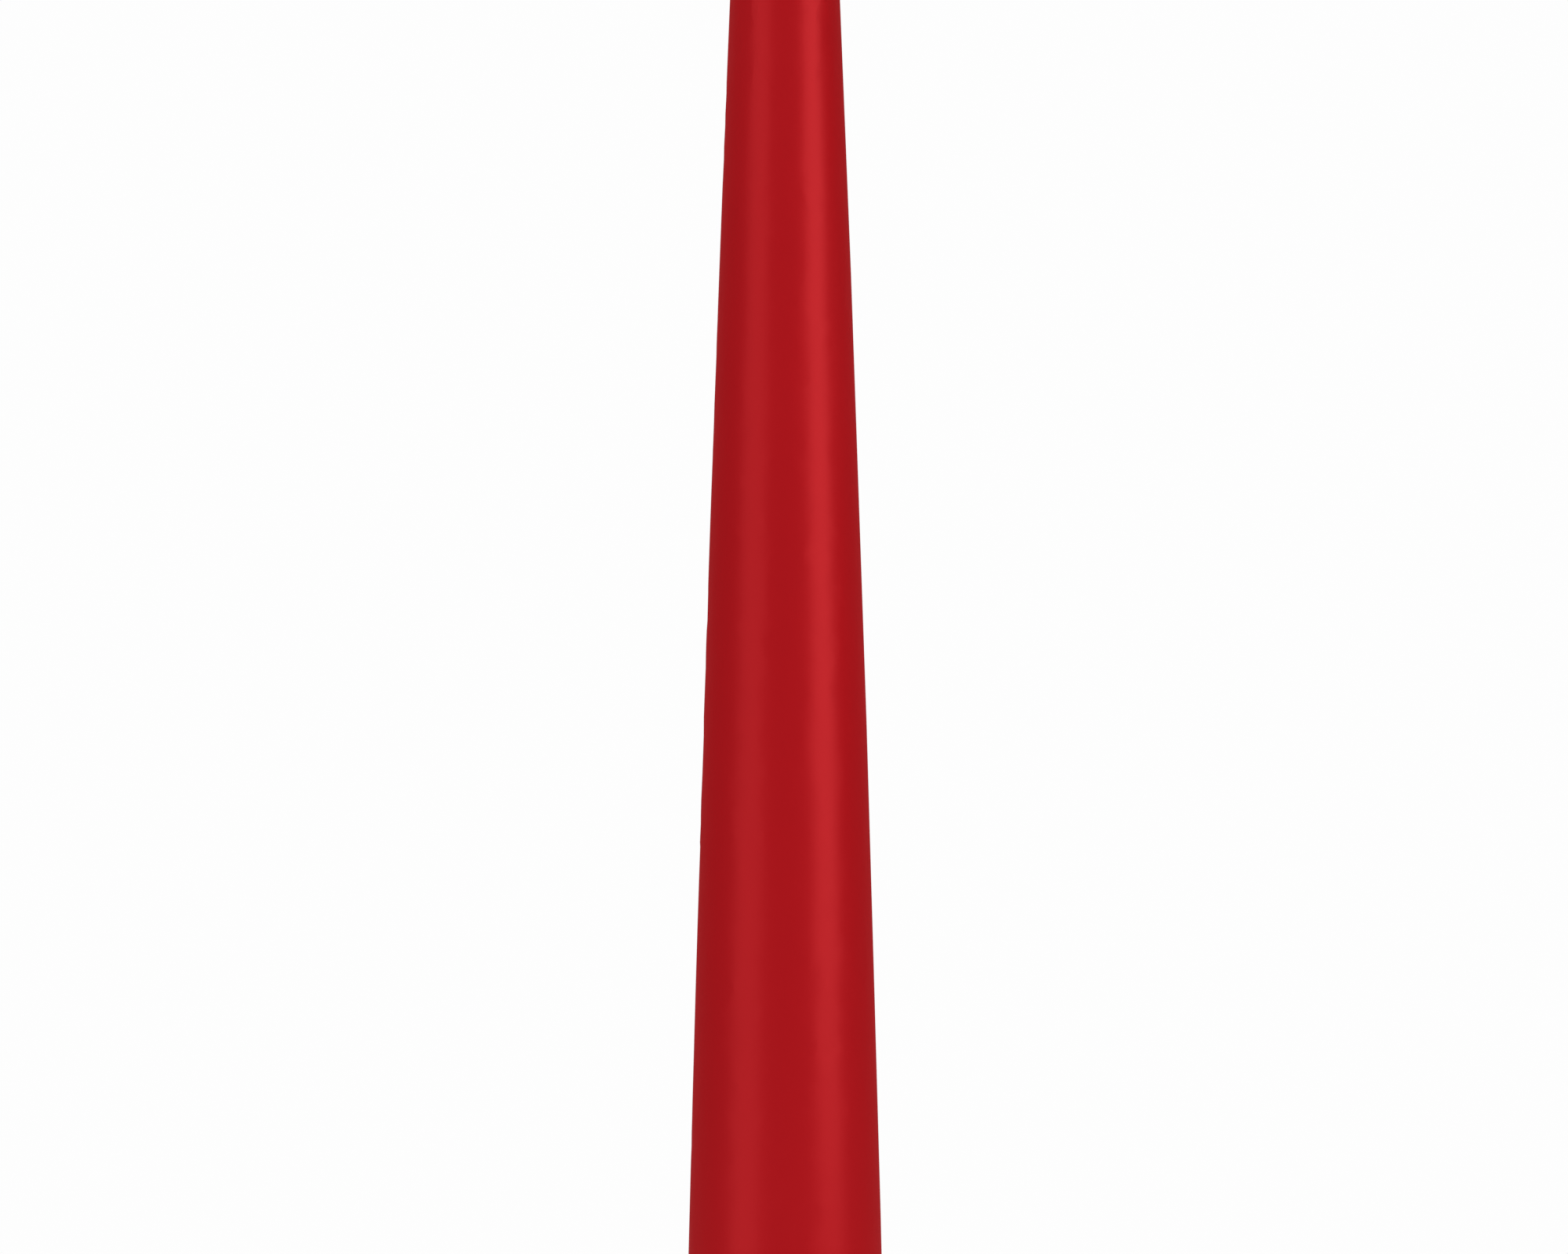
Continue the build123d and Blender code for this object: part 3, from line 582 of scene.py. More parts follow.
def simulated():
    """Lets the free bands' cloth fall as its seams move from straight out to limp. The seams stay round."""
    straight, hanging = hung_start()
    rows = straight.shape[0]
    jitter = np.random.default_rng(5).normal(0, 0.0005, straight.shape)
    jitter[::SIM_ROWS] = 0
    faces = grid_faces(rows, SIM_COLUMNS, wrap_columns=True).tolist()
    obj = add_object("cloth", mesh_of(straight + jitter, faces))
    obj.shape_key_add(name="Basis")
    limp = obj.shape_key_add(name="limp")
    limp.data.foreach_set("co", hanging.ravel())
    pinned = obj.vertex_groups.new(name="seams")
    for row in range(0, rows, SIM_ROWS):
        pinned.add([row * SIM_COLUMNS + j for j in range(SIM_COLUMNS)], 1.0, "REPLACE")
    for at, value in ((1, 0.0), (SIM_MOVE, 1.0)):
        limp.value = value
        limp.keyframe_insert("value", frame=at)
    modifier = obj.modifiers.new("Cloth", "CLOTH")
    for setting, value in (
        ("quality", 6), ("mass", 0.05), ("tension_stiffness", 15), ("compression_stiffness", 5),
        ("shear_stiffness", 5), ("bending_stiffness", 0.3), ("use_pressure", True),
        ("uniform_pressure_force", 3), ("vertex_group_mass", "seams"),
    ):
        setattr(modifier.settings, setting, value)
    touching = modifier.collision_settings
    touching.collision_quality = 2
    touching.use_self_collision = True
    touching.distance_min = touching.self_distance_min = TOUCH_GAP
    collider = hoop_collider()
    modifier.point_cache.frame_end = SIM_FRAMES
    for at in range(1, SIM_FRAMES + 1):
        bpy.context.scene.frame_set(at)
    posed = obj.evaluated_get(bpy.context.evaluated_depsgraph_get()).to_mesh()
    found = np.zeros(len(posed.vertices) * 3, np.float32)
    posed.vertices.foreach_get("co", found)
    for helper in (obj, collider):
        bpy.data.objects.remove(helper)
    bpy.context.scene.frame_set(1)
    return found.reshape(rows, SIM_COLUMNS, 3).astype(float)


def refined(grid):
    """Twice the rows and columns, on smooth curves through every point."""
    before, after, beyond = np.roll(grid, 1, 1), np.roll(grid, -1, 1), np.roll(grid, -2, 1)
    middle = (9 * (grid + after) - before - beyond) / 16
    wide = np.stack([grid, middle], 2).reshape(grid.shape[0], -1, 3)
    padded = np.concatenate([2 * wide[:1] - wide[1:2], wide, 2 * wide[-1:] - wide[-2:-1]])
    middle = (9 * (padded[1:-2] + padded[2:-1]) - padded[:-3] - padded[3:]) / 16
    tall = np.zeros((2 * wide.shape[0] - 1, wide.shape[1], 3))
    tall[::2], tall[1::2] = wide, middle
    return tall


TOP_DIP, DIP_OFF_ROD, SAG, SAG_UNDER = 0.0065, 0.0055, 0.0060, 0.0050
SCALLOP, MOUTH_PULL, MOUTH_SCALLOP = 0.0045, 0.0007, 0.0022
RIPPLES = ((5.0, 4.2, 0.0, 0.0040), (11.0, 9.0, 7.0, 0.0018))


def between(x, low, high):
    """1 halfway between two hoops, 0 at them."""
    return np.sin(np.pi * np.clip((x - low) / (high - low), 0, 1))


def basket_cloth():
    """The basket's two bands: stretched from hoop to hoop, dipping on top, sagging below, scalloped by the ties."""
    grid = straight_rings(BASKET_BANDS * ROWS + 1, COLUMNS, 1, BASKET_BANDS)
    x = grid[:, 0, 0][:, None]
    turn = (np.arange(COLUMNS) / COLUMNS * 2 * np.pi - np.pi / 2)[None]
    span = between(x, SOCK_X0 + HEM_L, MID_HOOP_X) + between(x, MID_HOOP_X, SEAM_2)
    off_rod = np.abs(np.sin(3 * (turn - np.pi / 2)))
    top, bottom = np.clip(np.sin(turn), 0, 1), np.clip(-np.sin(turn), 0, 1)
    change = -span * top * (TOP_DIP + DIP_OFF_ROD * off_rod)
    change += span * bottom * (SAG + SAG_UNDER * np.cos(2 * (turn + np.pi / 2)))
    slack = 0.5 + 0.5 * np.cos(TIES * turn)
    reach = (x - SOCK_X0) / HEM_L
    past_hem = np.clip(reach - 1, 0, None)
    change += SCALLOP * (0.5 - slack) * np.clip(past_hem, 0, 1) * np.exp(-past_hem / 1.6)
    change -= MOUTH_PULL * slack * np.exp(-2 * reach)
    ripples = np.zeros_like(change)
    for i, j in np.ndindex(*ripples.shape):
        for along, across, shift, height in RIPPLES:
            y, z = math.cos(turn[0, j]) * across, math.sin(turn[0, j]) * across
            ripples[i, j] += height * noise.noise(Vector((x[i, 0] * along + shift, y, z)))
    change += ripples * np.clip(span * 1.3, 0, 1)
    out = np.stack([0 * turn, np.cos(turn), np.sin(turn)], -1)
    grid = grid + change[..., None] * out
    grid[..., 0] += MOUTH_SCALLOP * slack * np.clip(1 - reach, 0, 1) ** 2
    return grid


def normals_of(grid):
    """Outward unit normals of a grid whose columns wrap."""
    around = np.roll(grid, -1, 1) - np.roll(grid, 1, 1)
    along = np.gradient(grid, axis=0)
    return unit(np.cross(around, along))


def on_cloth(rows, columns):
    """Points and normals of the sock at fractional rows and columns, running straight on beyond its ends."""
    i = np.clip(np.floor(rows), 0, sock.shape[0] - 2).astype(int)
    j = np.floor(columns).astype(int)
    u, v = (rows - i)[..., None], (columns - j)[..., None]
    found = []
    for field in (sock, sock_normals):
        a, b = field[i, j % COLUMNS], field[i, (j + 1) % COLUMNS]
        c, d = field[i + 1, j % COLUMNS], field[i + 1, (j + 1) % COLUMNS]
        found.append((a * (1 - v) + b * v) * (1 - u) + (c * (1 - v) + d * v) * u)
    return found[0], unit(found[1])


basket = basket_cloth()
free = refined(simulated())
sock = np.concatenate([basket[:-1], free])
sock_normals = normals_of(sock)
ROW_RADIUS = cone_radius(SOCK_X0 + np.arange(sock.shape[0]) * ROW_L)

# --- The cloth: panels and sewing ---


def mark_weave(mesh, flat):
    """Stores each face corner's place in the flat cloth, which the textures of the weave follow."""
    layer = mesh.attributes.new("weave", "FLOAT2", "CORNER")
    layer.data.foreach_set("vector", flat.astype(np.float32).ravel())


def mark_sections(mesh, points, step, width):
    """Marks a mesh of equal sections: a step from each to the next, and a width from point to point."""
    at = np.array([l.vertex_index for l in mesh.loops])
    mark_weave(mesh, np.stack([(at // points) * step, (at % points) * width], -1))


def panel(band):
    """One band's cloth, an open cone whose edges meet under the lengthwise seam."""
    first = (band - 1) * ROWS
    rows = sock[first : first + ROWS + 1]
    grid = np.concatenate([rows, rows[:, :1]], 1)
    mesh = grid_mesh(grid)
    i, j = (a.ravel() for a in np.meshgrid(np.arange(ROWS), np.arange(COLUMNS), indexing="ij"))
    across = np.stack([j, j + 1, j + 1, j], 1) * 2 * math.pi * cone_radius(seam_x(band - 0.5)) / COLUMNS
    mark_weave(mesh, np.stack([across, np.stack([i, i, i + 1, i + 1], 1) * ROW_L], -1))
    obj = add_object(f"sock_cloth_{band}", mesh, RED_CLOTH if band % 2 else WHITE_CLOTH)
    solid = obj.modifiers.new("Thickness", "SOLIDIFY")
    solid.thickness = CLOTH_THICK
    solid.offset = 0
    return obj


SEAM_HALF, SEAM_THICK, SEAM_STITCH = 0.0075, 0.0007, 0.0045
SEAM_TOP = CLOTH_THICK / 2 + SEAM_THICK
LENGTHWISE_HALF, LENGTHWISE_STITCH = 0.0065, 0.0040
TAPE_SHAPE = (
    (-1.0, -0.2), (-1.0, 0.75), (-0.9, 1.0), (-0.5, 1.06), (0.0, 1.06), (0.5, 1.06), (0.9, 1.0), (1.0, 0.75),
    (1.0, -0.2), (0.5, -0.2), (0.0, -0.2), (-0.5, -0.2),
)


def radius_at(rows):
    return np.interp(rows, np.arange(len(ROW_RADIUS)), ROW_RADIUS)


def tape_mesh(rows, columns, half, ring):
    """A tape laid on the cloth along a ring, or else along a column: its section follows the cloth."""
    sections = []
    for across, lift in TAPE_SHAPE:
        if ring:
            r, c = rows + across * half / ROW_L, columns
        else:
            r, c = rows, columns + across * half / (2 * np.pi * radius_at(rows) / COLUMNS)
        points, out = on_cloth(r, c)
        sections.append(points + out * (lift * SEAM_THICK + CLOTH_THICK / 2))
    grid = np.stack(sections, 1)
    if ring:
        mesh = grid_mesh(grid, wrap_rows=True, wrap_columns=True)
    else:
        faces = grid_faces(len(grid), len(TAPE_SHAPE), wrap_columns=True).tolist()
        last = (len(grid) - 1) * len(TAPE_SHAPE)
        faces += [list(range(len(TAPE_SHAPE))), list(range(last, last + len(TAPE_SHAPE)))]
        mesh = mesh_of(grid, faces)
    face_outward(mesh)
    run = 2 * math.pi * float(np.mean(ROW_RADIUS[np.round(rows).astype(int)])) if ring else len(grid) * ROW_L
    mark_sections(mesh, len(TAPE_SHAPE), run / len(grid), 2 * half / (len(TAPE_SHAPE) - 1))
    return mesh


STITCH_L, STITCH_GAP, STITCH_R = 0.0040, 0.0022, 0.00055


def stitch_mesh(lines, lift):
    """Stitches in lines: for each, the places of its stitches and half a stitch's step, in rows and columns."""
    sides, rings = 6, ((-1.0, 0.45), (-0.72, 0.95), (0.72, 0.95), (1.0, 0.45))
    points, faces, start = [], [], 0
    turn = np.arange(sides) / sides * 2 * np.pi
    for rows, columns, d_row, d_column in lines:
        middle, out = on_cloth(rows, columns)
        ahead = on_cloth(rows + d_row, columns + d_column)[0]
        behind = on_cloth(rows - d_row, columns - d_column)[0]
        half = (ahead - behind) / 2
        side = unit(np.cross(half, out))
        made = []
        for t, r in rings:
            centre = middle + half * t + out * (lift + STITCH_R * 0.35 * (1 - t * t))
            circle = side[:, None] * np.cos(turn)[None, :, None] + out[:, None] * np.sin(turn)[None, :, None]
            made.append(centre[:, None] + circle * STITCH_R * r)
        block = np.stack(made, 1)
        one = grid_faces(len(rings), sides, wrap_columns=True).tolist()
        one += [list(range(sides))[::-1], list(range((len(rings) - 1) * sides, len(rings) * sides))]
        size = len(rings) * sides
        for s in range(len(block)):
            faces += [[start + s * size + v for v in f] for f in one]
        points.append(block.reshape(-1, 3))
        start += len(block) * size
    return mesh_of(np.concatenate(points), faces)


def ring_stitches(row, offsets):
    """Lines of stitches round the sock, at offsets in metres from a row."""
    lines = []
    for offset in offsets:
        at = row + offset / ROW_L
        girth = 2 * math.pi * radius_at(at)
        count = int(girth / (STITCH_L + STITCH_GAP))
        columns = np.arange(count) / count * COLUMNS
        lines.append((np.full(count, at), columns, 0.0, STITCH_L / 2 / (girth / COLUMNS)))
    return lines


def column_stitches(first, last, offsets):
    """Lines of stitches along the sock's lengthwise seam, at offsets in metres from the first column."""
    count = int((last - first) * ROW_L / (STITCH_L + STITCH_GAP))
    rows = np.linspace(first + 0.4, last - 0.4, count)
    spacing = 2 * np.pi * radius_at(rows) / COLUMNS
    return [(rows, offset / spacing, STITCH_L / 2 / ROW_L, 0.0) for offset in offsets]


def band_seam(k):
    """The taped seam round the end of band k, with its stitches. It moves with the band before it."""
    body = "head" if k <= BASKET_BANDS else FREE_BODIES[k - 1 - BASKET_BANDS]
    row = k * ROWS - SEAM_HALF / ROW_L
    rows, columns = np.full(2 * COLUMNS, float(row)), np.arange(2 * COLUMNS) / 2.0
    piece(f"seam_{k}", tape_mesh(rows, columns, SEAM_HALF, True), RED_TAPE, body)
    lines = ring_stitches(row, (-SEAM_STITCH, SEAM_STITCH))
    piece(f"seam_{k}_stitches", stitch_mesh(lines, SEAM_TOP), WHITE_THREAD, body)


def lengthwise(band):
    """The seam that closes one band's cone, along its bottom."""
    first, last = (band - 1) * ROWS + 1, band * ROWS - 1
    if band == 1:
        first += int(HEM_L / ROW_L)
    rows = np.arange(first, last + 0.1, 0.5)
    tape, yarn = (RED_TAPE, RED_THREAD) if band % 2 else (WHITE_TAPE, WHITE_THREAD)
    strip = tape_mesh(rows, np.zeros(len(rows)), LENGTHWISE_HALF, False)
    sewing = stitch_mesh(column_stitches(first, last, (-LENGTHWISE_STITCH, LENGTHWISE_STITCH)), SEAM_TOP)
    return [
        add_object(f"lengthwise_seam_{band}", strip, tape),
        add_object(f"lengthwise_stitches_{band}", sewing, yarn),
    ]


def blend_ends(fold):
    """Where a free band starts and ends its bend: out from the seam before it, square to that seam's ring."""
    top, down = Vector(FOLDS[fold]["pos_m"]), sum(DROOP[:fold])
    centre = top - Vector((math.sin(down), 0, math.cos(down))) * cone_radius(seam_x(BASKET_BANDS + fold))
    return centre, centre + Vector((math.cos(down), 0, -math.sin(down))) * BEND_L[fold]


def dress_band(band):
    """One band's cloth and its lengthwise seam: on one body, or bent between two."""
    cloth_piece, sewing = panel(band), lengthwise(band)
    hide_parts(f"sock_band_{band}")
    for part in (cloth_piece, *sewing):
        if band <= BASKET_BANDS:
            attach(part, "head")
        else:
            fold = band - 1 - BASKET_BANDS
            before = "head" if fold == 0 else FREE_BODIES[fold - 1]
            start, end = blend_ends(fold)
            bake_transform(part, before, FREE_BODIES[fold], start=start, end=end)


def folded_hem(name, tape, body, first, last, half, per_column):
    """A tape folded over the cloth's edge, following it inside and outside, first to last metres along."""
    rings, columns = HEM_RINGS, per_column * COLUMNS
    along = np.linspace(first, last, rings)
    at = np.arange(columns) / per_column
    outer, inner = [], []
    for s in along:
        points, out = on_cloth(np.full(columns, s / ROW_L), at)
        edge = min(s - first, last - s)
        lift = half * math.sqrt(1 - max(0.0, 1 - edge / half) ** 2) + HEM_SKIN
        outer.append(points + out * lift)
        inner.append(points - out * lift)
    grid = np.stack(outer + inner[::-1], 1)
    mesh = face_outward(grid_mesh(grid, wrap_rows=True, wrap_columns=True))
    girth = 2 * math.pi * cone_radius(SOCK_X0 + first)
    mark_sections(mesh, 2 * rings, girth / columns, (last - first) / rings)
    return piece(name, mesh, tape, body)


def hem_stitches(name, yarn, body, offsets, half):
    """Rows of stitches on a folded hem, at offsets in metres from the mouth."""
    return piece(name, stitch_mesh(ring_stitches(0, offsets), half + HEM_SKIN), yarn, body)


HEM_HALF, TAIL_HEM_HALF, HEM_SKIN, HEM_OVER, HEM_RINGS = 0.0017, 0.0013, 0.0001, 0.0006, 17
HEM_STITCHES = (0.0055, 0.0085, HEM_L - 0.0085, HEM_L - 0.0055)
TAIL_END, LAST_BODY = BANDS * BAND_L, FREE_BODIES[-1]
TAIL_HEM_START = TAIL_END - 0.025
TAIL_STITCHES = (TAIL_HEM_START + 0.0040, TAIL_HEM_START + 0.0070)
THROAT_HEM = [
    folded_hem("hem_webbing", TAPE, "head", -HEM_OVER, HEM_L, HEM_HALF, 4),
    hem_stitches("hem_stitches", RED_THREAD, "head", HEM_STITCHES, HEM_HALF),
]
for k in range(1, BANDS):
    band_seam(k)
TAIL_HEM = [
    folded_hem("tail_hem_fold", RED_TAPE, LAST_BODY, TAIL_HEM_START, TAIL_END + HEM_OVER, TAIL_HEM_HALF, 2),
    hem_stitches("tail_hem_fold_stitches", WHITE_THREAD, LAST_BODY, TAIL_STITCHES, TAIL_HEM_HALF),
]
for hem, node, slot in ((THROAT_HEM[0], "throat_hem", "webbing"), (TAIL_HEM[0], "tail_hem", "red_fabric")):
    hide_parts(node)
for band in range(1, BANDS + 1):
    dress_band(band)

# --- Eyelets and ties ---


def around_throat(points, angle):
    """Turns points made at the sock's side (+Y) round its axis."""
    a = math.radians(angle)
    y, z = points[..., 1], points[..., 2] - SOCK_Z
    turned = (points[..., 0], y * math.cos(a) - z * math.sin(a), SOCK_Z + y * math.sin(a) + z * math.cos(a))
    return np.stack(turned, -1)


TIE_X, TIE_R, TIE_THICK = 0.062, 0.021, 0.0018
EYELET_X = TIE_X + TIE_R
EYELET_RIM = (
    (0.0045, 0.0020), (0.0048, 0.0027), (0.0056, 0.0031), (0.0068, 0.0030), (0.0080, 0.0025), (0.0088, 0.0019),
    (0.0090, 0.0015), (0.0055, 0.0013),
)
TIE_ANGLES = [360 / TIES * (i + 0.5) for i in range(TIES)]


def eyelets():
    """Two-part brass eyelets, rolled over the webbing."""
    one = lathe_mesh([*EYELET_RIM, *((r, -z) for r, z in EYELET_RIM[::-1])], 40)
    co = np.array([v.co for v in one.vertices])
    slope = (THROAT_R - TAIL_R) / (BANDS * BAND_L)
    out = cone_radius(EYELET_X) + co[:, 2] - slope * co[:, 0]
    placed = np.stack([EYELET_X + co[:, 0], out, SOCK_Z + co[:, 1]], 1)
    faces = np.array([list(p.vertices) for p in one.polygons])
    points = np.concatenate([around_throat(placed, angle) for angle in TIE_ANGLES])
    all_faces = np.concatenate([faces + i * len(placed) for i in range(TIES)])
    mesh = face_outward(mesh_of(points, all_faces.tolist()))
    obj = piece("brass_eyelets", mesh, BRASS, "head")
    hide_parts("grommets")


def tie_path(seed):
    """One lashing: twice round the hoop and through the eyelet, a little uneven."""
    rng = np.random.default_rng(seed)
    steps = 64
    a = np.linspace(0, 4 * math.pi, 2 * steps, endpoint=False) + rng.uniform(-0.15, 0.15)
    wobble = 1 + 0.02 * np.sin(a * 1.5 + rng.uniform(0, 6))
    drift = 0.0021 * np.cos(a / 2)
    x = TIE_X + TIE_R * wobble * np.cos(a) - 0.0005
    y = cone_radius(EYELET_X) - 0.0020 + TIE_R * wobble * np.sin(a)
    return np.stack([x, y, SOCK_Z + drift], 1)


def knot_paths(seed):
    """A reef knot's two interlocked loops and its two cut tails, on the hoop's front."""
    rng = np.random.default_rng(100 + seed)
    centre = np.array([TIE_X - TIE_R * 0.87, cone_radius(EYELET_X) + TIE_R * 0.50, SOCK_Z])
    t = np.linspace(0, 2 * math.pi, 40, endpoint=False)
    knot = np.stack([0.0030 * np.sin(2 * t), 0.0034 * np.cos(t) + 0.0012 * np.cos(3 * t),
                     0.0046 * np.sin(t) + 0.0010 * np.sin(3 * t)], 1) + centre
    tails = []
    for side in (-1, 1):
        bend, reach = rng.uniform(0.004, 0.010), rng.uniform(0.014, 0.022)
        s = np.linspace(0, 1, 12)[:, None]
        end = centre + np.array([-reach * 0.75, rng.uniform(-0.004, 0.008), side * reach * 0.8])
        bulge = np.array([-bend, 0.004, 0.0]) * np.sin(np.pi * s)
        tails.append(centre + (end - centre) * s + bulge)
    return knot, tails


def ties():
    """The lashings round the throat hoop, with their knots."""
    loops, knots, tails = [], [], []
    for i, angle in enumerate(TIE_ANGLES):
        loops.append(around_throat(tie_path(i), angle))
        knot, ends = knot_paths(i)
        knots.append(around_throat(knot, angle))
        tails += [around_throat(end, angle) for end in ends]
    joined = bmesh.new()
    for paths, closed in ((loops, True), (knots, True), (tails, False)):
        joined.from_mesh(tube_mesh(paths, TIE_THICK, 10, closed))
    mesh = bpy.data.meshes.new("made")
    joined.to_mesh(mesh)
    joined.free()
    mesh.shade_smooth()
    obj = piece("throat_lashings", mesh, TIE_CORD, "head")
    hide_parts("sock_ties")


eyelets()
ties()

# --- CAD nodes that keep their shape ---

FINISHES = {
    MAST_RED: ["mast", "swivel_tube"],
    STEEL: ["plug_screws", "spindle", "spindle_cross_pin", "bearing_spacer", "spindle_washer", "spindle_nut",
            "throat_hoop", "mid_hoop", "rear_hoop", "top_rod", "bottom_rod", "side_rods", "lower_circlip",
            "upper_circlip"],
    GROUND_STEEL: [f"{end}_bearing_{part}" for end in ("lower", "upper")
                   for part in ("inner_ring", "outer_ring", "balls")],
    RUBBER: ["lip_seal"],
}
for material, nodes in FINISHES.items():
    for node in nodes:
        mesh = frame["nodes"][node].data
        mesh.materials.clear()
        mesh.materials.append(material)

for nodes, material, width in (
    (["foundation_plate"], ZINC, 0.0010),
    (["hinge_lug_left", "hinge_lug_right"], ZINC, 0.0012),
    (["mast_flange", "gussets"], MAST_RED, 0.0010),
    (["hinge_knuckle"], MAST_RED, 0.0012),
    (["upper_hoop_bracket", "lower_hoop_bracket", "top_cap"], CAST, 0.0008),
    (["mast_plug"], CAST, 0.0004),
    (["bracket_screws", "lock_bolts", "lock_washers"], STEEL, 0.0004),
    (["hinge_pin"], STEEL, 0.0005),
    (["hinge_pin_washer"], STEEL, 0.0004),
):
    for node in nodes:
        edge_rounded(node, material, width)

COTTER_WIRE_R, COTTER_SPREAD = 0.00095, 0.006


def cotter():
    """The split pin: one wire bent round into an eye, its two legs through the hinge pin and spread below."""
    low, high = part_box("split_pin")
    x, y = (low.x + high.x) / 2, (low.y + high.y) / 2
    eye_r = (high.x - low.x) / 2 - COTTER_WIRE_R
    eye_z = high.z - eye_r - COTTER_WIRE_R
    around = np.radians(np.linspace(-70, 250, 28))
    eye = np.stack([eye_r * np.cos(around), 0 * around, eye_z + eye_r * np.sin(around)], 1)
    legs = []
    for side in (1, -1):
        down = np.linspace(eye_z - eye_r * 1.3, low.z + COTTER_SPREAD, 12)
        straight = np.stack([0 * down + side * COTTER_WIRE_R, 0 * down, down], 1)
        curl = np.radians(np.linspace(0, 75, 10))[1:]
        bend_r = 0.005 if side > 0 else 0.0065
        spread = np.stack([side * (COTTER_WIRE_R + bend_r * (1 - np.cos(curl))), 0 * curl,
                           low.z + COTTER_SPREAD - bend_r * np.sin(curl)], 1)
        legs.append(np.concatenate([straight, spread]))
    path = np.concatenate([legs[1][::-1], eye[::-1], legs[0]]) + (x, y, 0)
    obj = piece("cotter", tube_mesh([path], COTTER_WIRE_R, 10), STEEL, "base")
    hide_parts("split_pin")


cotter()

# --- Welds ---


WELD_STEP = 0.0012


def line(start, end, step=WELD_STEP):
    start, end = np.array(start, float), np.array(end, float)
    count = max(3, int(np.linalg.norm(end - start) / step))
    return start + (end - start) * np.linspace(0, 1, count)[:, None]


def arc_z(radius, z, first, last):
    count = int(math.radians(last - first) * radius / WELD_STEP)
    a = np.radians(np.linspace(first, last, count))
    return np.stack([radius * np.cos(a), radius * np.sin(a), 0 * a + z], 1)


def turned_z(points, angle):
    a = math.radians(angle)
    x, y = points[:, 0], points[:, 1]
    return np.stack([x * math.cos(a) - y * math.sin(a), x * math.sin(a) + y * math.cos(a), points[:, 2]], 1)


def weld(name, paths, radius, material, body, sides=10, ripple=0.22):
    piece(name, tube_mesh(paths, radius, sides, ripple=ripple), material, body)


MAST_WELD_R, KNUCKLE_WELD_R, LUG_WELD_R, HOOP_WELD_R = 0.0042, 0.0032, 0.0030, 0.0022
BUTT_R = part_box("mast")[1].x
FLANGE_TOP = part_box("mast_flange")[1].z
GUSSET_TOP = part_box("gussets")[1].z
GUSSET_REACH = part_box("gussets")[1].x
GUSSET_HALF = 0.005


def mast_welds():
    """Fillets at the mast's foot, up both sides of each gusset and along the flange, all under the paint."""
    paths = []
    for quarter in range(4):
        edge = math.degrees(math.asin((GUSSET_HALF + 0.002) / BUTT_R))
        paths.append(arc_z(BUTT_R + 0.001, FLANGE_TOP + 0.001, quarter * 90 + edge, quarter * 90 + 90 - edge))
        for side in (-1, 1):
            y, z = side * (GUSSET_HALF + 0.0008), FLANGE_TOP + 0.0008
            up = line((BUTT_R + 0.0005, y, FLANGE_TOP + 0.003), (BUTT_R + 0.0005, y, GUSSET_TOP - 0.002))
            out = line((BUTT_R + 0.004, y, z), (GUSSET_REACH - 0.001, y, z))
            paths += [turned_z(up, quarter * 90), turned_z(out, quarter * 90)]
    weld("mast_foot_welds", paths, MAST_WELD_R, MAST_RED, "mast")


def knuckle_weld():
    """The fillet that joins the hinge knuckle's web to the flange's edge."""
    x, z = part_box("mast_flange")[0].x, FLANGE_TOP
    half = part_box("hinge_knuckle")[1].y - 0.002
    path = line((x - 0.0005, -half, z - 0.0008), (x - 0.0005, half, z - 0.0008))
    weld("knuckle_weld", [path], KNUCKLE_WELD_R, MAST_RED, "mast")


def lug_welds():
    """Fillets between the hinge lugs and the foundation plate's notch."""
    paths, top = [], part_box("foundation_plate")[1].z
    for node in ("hinge_lug_left", "hinge_lug_right"):
        low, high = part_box(node)
        x = high.x
        for y in (low.y - 0.0008, high.y + 0.0008):
            paths.append(line((x - 0.0008, y, 0.002), (x - 0.0008, y, top - 0.001)))
        paths.append(line((x - 0.0002, low.y, top + 0.0006), (x - 0.0002, high.y, top + 0.0006)))
    weld("lug_welds", paths, LUG_WELD_R, ZINC, "base")


def hoop_welds():
    """A small weld on each side of every rod where it meets a hoop."""
    paths = []
    for hoop in ("throat_hoop", "mid_hoop", "rear_hoop"):
        low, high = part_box(hoop)
        x, tube = (low.x + high.x) / 2, (high.x - low.x) / 2
        y = (high.z - low.z) / 2 - 2 * tube - 0.0005
        for angle in ROD_ANGLES:
            if hoop == "throat_hoop" and angle in BRACKET_ANGLES:
                continue
            for z in (-0.0032, 0.0032):
                along = line((x - 0.005, y, z), (x + 0.005, y, z), 0.001)
                along[:, 1] += 0.0012 * (1 - ((along[:, 0] - x) / 0.0065) ** 2)
                along[:, 2] += SOCK_Z
                paths.append(around_throat(along, angle))
    weld("hoop_welds", paths, HOOP_WELD_R, WELD, "head", sides=8, ripple=0.25)


mast_welds()
knuckle_weld()
lug_welds()
hoop_welds()

# --- Studio ---

VIEW_X, VIEW_Z = -0.0007, 2.4966
VIEW_DISTANCE = 2.330
STUDIO_WHITE, AMBIENT, HORIZON, CEILING = 0.985, 0.72, 0.20, 1.0
AIM_Z = 2.6


def camera():
    """Level, square to the mast, on its upper stretch."""
    data = bpy.data.cameras.new("camera")
    data.lens = 85
    data.sensor_width = 36
    obj = bpy.data.objects.new("camera", data)
    obj.location = (VIEW_X, -VIEW_DISTANCE, VIEW_Z)
    obj.rotation_euler = (math.pi / 2, 0, 0)
    bpy.context.scene.collection.objects.link(obj)
    bpy.context.scene.camera = obj


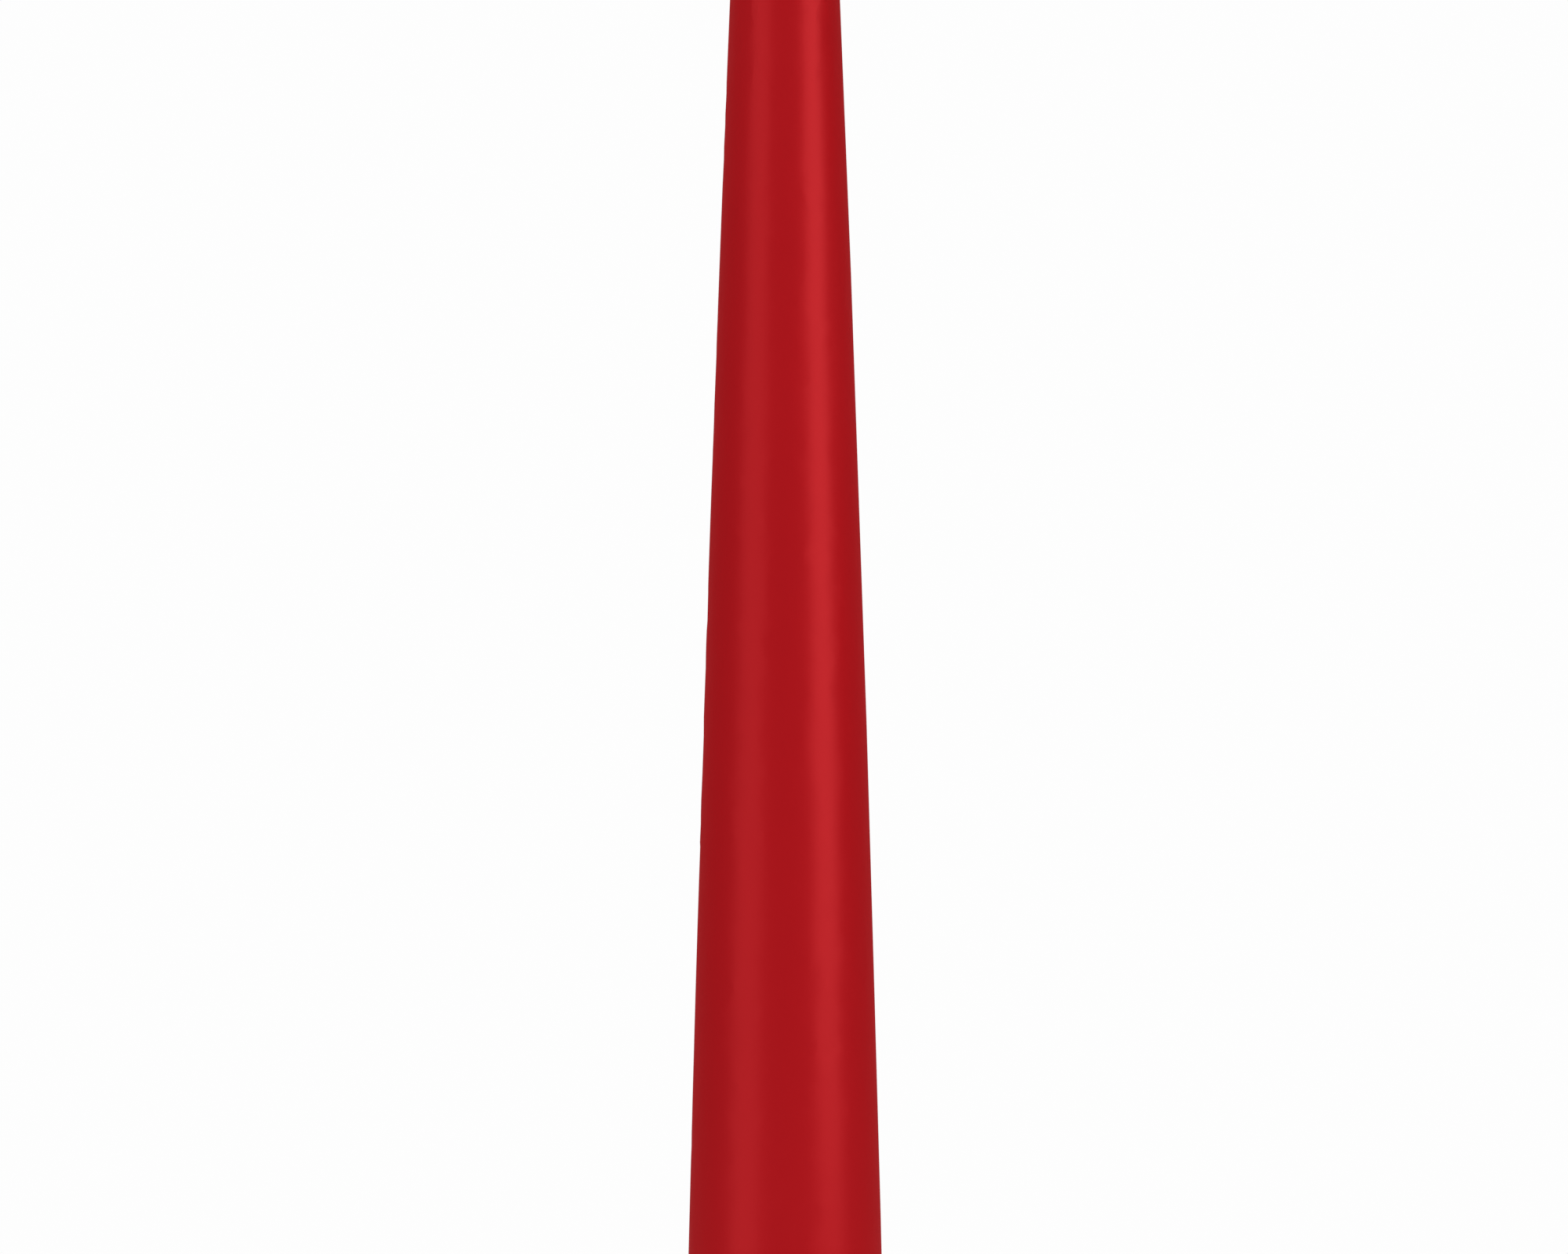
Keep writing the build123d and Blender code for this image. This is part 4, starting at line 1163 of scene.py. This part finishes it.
def softbox(name, direction, height, size, power, distance=3.0, reflected=True):
    """A rectangular light that faces the mast's axis, from a direction in degrees off the camera's."""
    data = bpy.data.lights.new(name, "AREA")
    data.shape = "RECTANGLE"
    data.size, data.size_y = size
    data.energy = power
    obj = bpy.data.objects.new(name, data)
    a = math.radians(direction)
    obj.location = (distance * math.sin(a), -distance * math.cos(a), height)
    aim = Vector((0, 0, min(height, AIM_Z))) - Vector(obj.location)
    obj.rotation_euler = aim.to_track_quat("-Z", "Y").to_euler()
    obj.visible_camera = False
    obj.visible_glossy = reflected
    bpy.context.scene.collection.objects.link(obj)


def world():
    """Near-white to the camera, soft light all round, and in reflections a dim room with a bright ceiling."""
    made = bpy.data.worlds.new("studio")
    made.use_nodes = True
    nodes = Nodes(made.node_tree)
    where = nodes.add("ShaderNodeTexCoord", output="Generated")
    height = nodes.add("ShaderNodeSeparateXYZ", {"Vector": where}, output="Z")
    steps = {"Value": height, "From Min": 0.12, "From Max": 0.75, "To Min": HORIZON, "To Max": CEILING}
    ceiling = nodes.add("ShaderNodeMapRange", steps, interpolation_type="SMOOTHSTEP")
    in_reflections = nodes.add("ShaderNodeLightPath", output="Is Glossy Ray")
    to_camera = nodes.add("ShaderNodeLightPath", output="Is Camera Ray")
    lit = nodes.add("ShaderNodeMix", {0: in_reflections, 2: AMBIENT, 3: ceiling})
    seen = nodes.add("ShaderNodeMix", {0: to_camera, 2: lit, 3: STUDIO_WHITE})
    back = made.node_tree.nodes["Background"]
    back.inputs["Color"].default_value = (1, 1, 1, 1)
    made.node_tree.links.new(seen, back.inputs["Strength"])
    bpy.context.scene.world = made


def floor():
    """A pale round floor that fades into the background."""
    paint = Paint("floor", (0.80, 0.80, 0.79), 0.85, Specular_IOR_Level=0.1)
    where = paint.place()
    paint.tint(paint.patches(where, 3.0, 4.0, 0.5, 0.3, 0.7, 1),
                                      (0.80, 0.80, 0.79), (0.83, 0.83, 0.82))
    flat = paint.add("ShaderNodeVectorMath", {0: where, 1: (1, 1, 0)}, operation="MULTIPLY")
    away = paint.add("ShaderNodeVectorMath", {0: flat}, output="Value", operation="LENGTH")
    fade = paint.add("ShaderNodeMapRange", {"Value": away, "From Min": 1.5, "From Max": 7.0},
                     interpolation_type="SMOOTHSTEP")
    glow = paint.add("ShaderNodeEmission", {"Color": (1, 1, 1, 1), "Strength": STUDIO_WHITE})
    paint.surface(glow, fade)
    radii = np.concatenate([[0.0005], np.linspace(0.5, 8.5, 17)])
    turn = np.arange(96) / 96 * 2 * np.pi
    grid = radii[:, None, None] * np.stack([np.cos(turn), np.sin(turn), 0 * turn], 1)[None]
    obj = add_object("floor", grid_mesh(grid, wrap_columns=True), paint.material)


camera()
world()
floor()
softbox("key", 56, 3.7, (2.1, 4.2), 52)
softbox("fill", -50, 2.9, (2.1, 4.2), 24)
softbox("rear_left", -152, 3.0, (1.2, 3.0), 22, reflected=False)
softbox("rear_right", 152, 3.0, (1.2, 3.0), 16, reflected=False)
softbox("top", 10, 6.2, (3.0, 3.0), 50, distance=0.8)
bpy.context.scene.view_settings.view_transform = "Standard"
